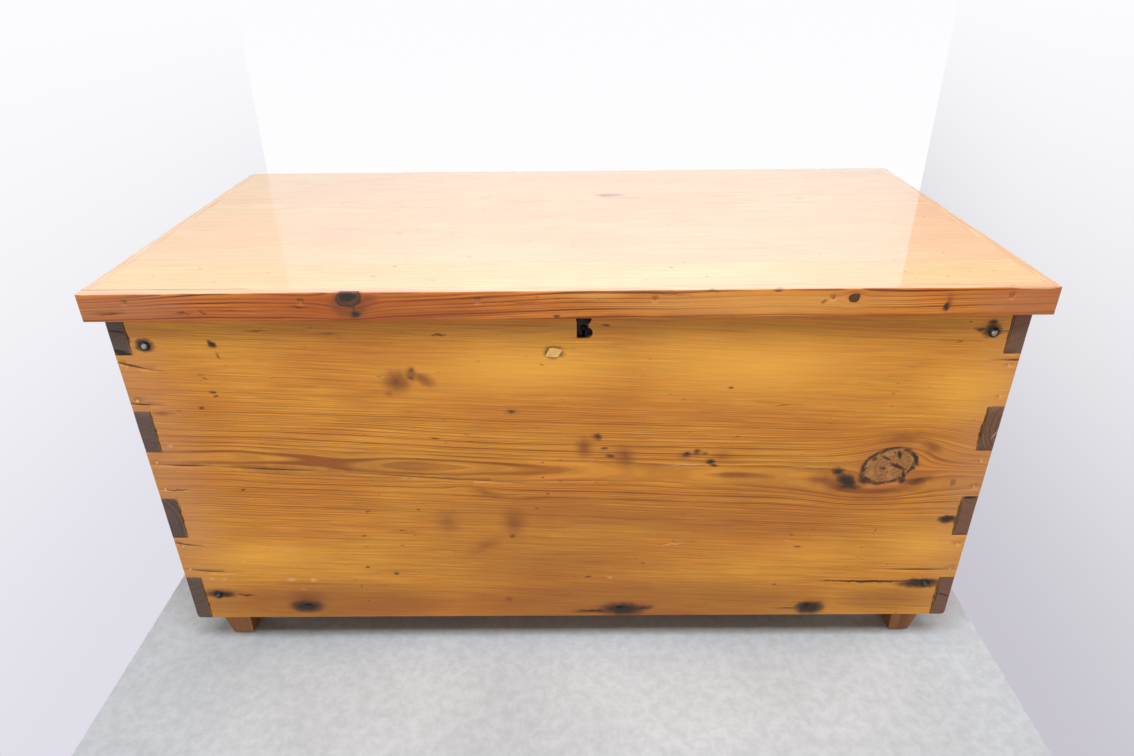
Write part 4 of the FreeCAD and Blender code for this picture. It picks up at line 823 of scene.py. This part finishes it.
def buildRoom():
    r, h, f = room, room["height"], room["floor"]
    stageMesh("floor", [(-f, -f, 0), (f, -f, 0), (f, f, 0), (-f, f, 0)], [(0, 1, 2, 3)], floorMaterial())
    corners = [(r["left"], r["front"]), (r["left"], r["back"]), (r["rightBack"], r["back"]), (r["right"], -0.1), (r["right"], r["front"])]
    # the second colour of each sheet is a painted reflection tint seen in the lid, warm on the right
    pale = sheetMaterial("whiteSheet", colour(255, 255, 255), colour(255, 255, 255))
    left = sheetMaterial("leftSheet", colour(224, 222, 232), colour(246, 238, 226))
    right = sheetMaterial("rightSheet", colour(200, 197, 206), colour(240, 206, 178))
    for i, (name, material) in enumerate((("sheetLeft", left), ("sheetBack", pale), ("sheetRightBack", right), ("sheetRight", right))):
        (xa, ya), (xb, yb) = corners[i], corners[i + 1]
        points = [(xa, ya, 0), (xb, yb, 0), (xb, yb, h), (xa, ya, h)]
        sheet = stageMesh(name, points, [(0, 1, 2, 3)], material)
        sheet.visible_diffuse = False
        sheet.visible_shadow = False


print("room")
buildRoom()

lamps = {
    "above": {"at": (0.0, -1.25, 2.75), "aim": (0.0, -0.1, 0.0), "size": (2.4, 0.9), "power": 70.0},
    "front": {"at": (-0.3, -3.4, 0.5), "aim": (0.0, 0.0, 0.35), "size": (3.0, 0.8), "power": 28.0},
    "back": {"at": (0.3, 3.3, 1.15), "aim": (0.0, 0.0, 0.35), "size": (2.6, 1.2), "power": 48.0},
    "left": {"at": (-3.4, 0.1, 1.15), "aim": (0.0, 0.0, 0.35), "size": (2.4, 1.2), "power": 40.0},
    "right": {"at": (3.4, 0.1, 1.15), "aim": (0.0, 0.0, 0.35), "size": (2.4, 1.2), "power": 40.0},
}


def addLamp(name, spec):
    data = bpy.data.lights.new(name, "AREA")
    data.shape = "RECTANGLE"
    data.size, data.size_y = spec["size"]
    data.energy = spec["power"]
    lamp = bpy.data.objects.new(name, data)
    lamp.visible_camera = False
    bpy.context.scene.collection.objects.link(lamp)
    back = np.array(spec["at"]) - np.array(spec["aim"])
    back = back / np.linalg.norm(back)
    side = np.cross((0.0, 0.0, 1.0) if abs(back[2]) < 0.9 else (0.0, 1.0, 0.0), back)
    side = side / np.linalg.norm(side)
    up = np.cross(back, side)
    turn = np.eye(4)
    turn[:3, 0], turn[:3, 1], turn[:3, 2], turn[:3, 3] = side, up, back, spec["at"]
    lamp.matrix_world = Matrix(turn.tolist())


def fillWorld(level, shown):
    # soft light that grows towards the ceiling, and a pale field where the camera or a reflection looks past the room
    world = bpy.data.worlds.new("softRoomLight")
    world.use_nodes = True
    tree = world.node_tree
    tree.nodes.clear()
    put = tree.nodes.new
    path, light, pale = put("ShaderNodeLightPath"), put("ShaderNodeBackground"), put("ShaderNodeBackground")
    way, height, rise = put("ShaderNodeTexCoord"), put("ShaderNodeSeparateXYZ"), put("ShaderNodeMapRange")
    either, glossy = put("ShaderNodeMath"), put("ShaderNodeMath")
    mix, end = put("ShaderNodeMixShader"), put("ShaderNodeOutputWorld")
    light.inputs["Color"].default_value = (1.0, 1.0, 1.0, 1.0)
    for key, value in (("From Min", 0.0), ("From Max", 0.8), ("To Min", level * 0.05), ("To Max", level * 1.35)):
        rise.inputs[key].default_value = value
    pale.inputs["Color"].default_value = shown
    either.operation = glossy.operation = "MAXIMUM"
    link = tree.links.new
    link(way.outputs["Generated"], height.inputs[0])
    link(height.outputs["Z"], rise.inputs["Value"])
    link(rise.outputs[0], light.inputs["Strength"])
    link(path.outputs["Is Camera Ray"], either.inputs[0])
    link(path.outputs["Is Glossy Ray"], either.inputs[1])
    link(either.outputs[0], glossy.inputs[0])
    link(path.outputs["Is Transmission Ray"], glossy.inputs[1])
    link(glossy.outputs[0], mix.inputs[0])
    link(light.outputs[0], mix.inputs[1])
    link(pale.outputs[0], mix.inputs[2])
    link(mix.outputs[0], end.inputs["Surface"])
    bpy.context.scene.world = world


print("lamps and camera")
for name, spec in lamps.items():
    addLamp(name, spec)
fillWorld(0.12, colour(236, 236, 240))

view = {"at": (0.00747, -1.20431, 0.98011), "pitch": 28.294, "yaw": 0.481, "roll": -0.637, "focalPixels": 780.735}


def addCamera(spec):
    data = bpy.data.cameras.new("camera")
    data.sensor_fit = "HORIZONTAL"
    data.sensor_width = 36.0
    data.lens = spec["focalPixels"] / 1134 * 36.0
    data.clip_start, data.clip_end = 0.01, 100.0
    camera = bpy.data.objects.new("camera", data)
    bpy.context.scene.collection.objects.link(camera)
    turn = (Matrix.Rotation(math.radians(spec["yaw"]), 4, "Z") @ Matrix.Rotation(math.radians(90.0 - spec["pitch"]), 4, "X")
            @ Matrix.Rotation(math.radians(spec["roll"]), 4, "Z"))
    camera.matrix_world = Matrix.Translation(spec["at"]) @ turn
    bpy.context.scene.camera = camera


addCamera(view)
bpy.context.scene.view_settings.view_transform = "Standard"
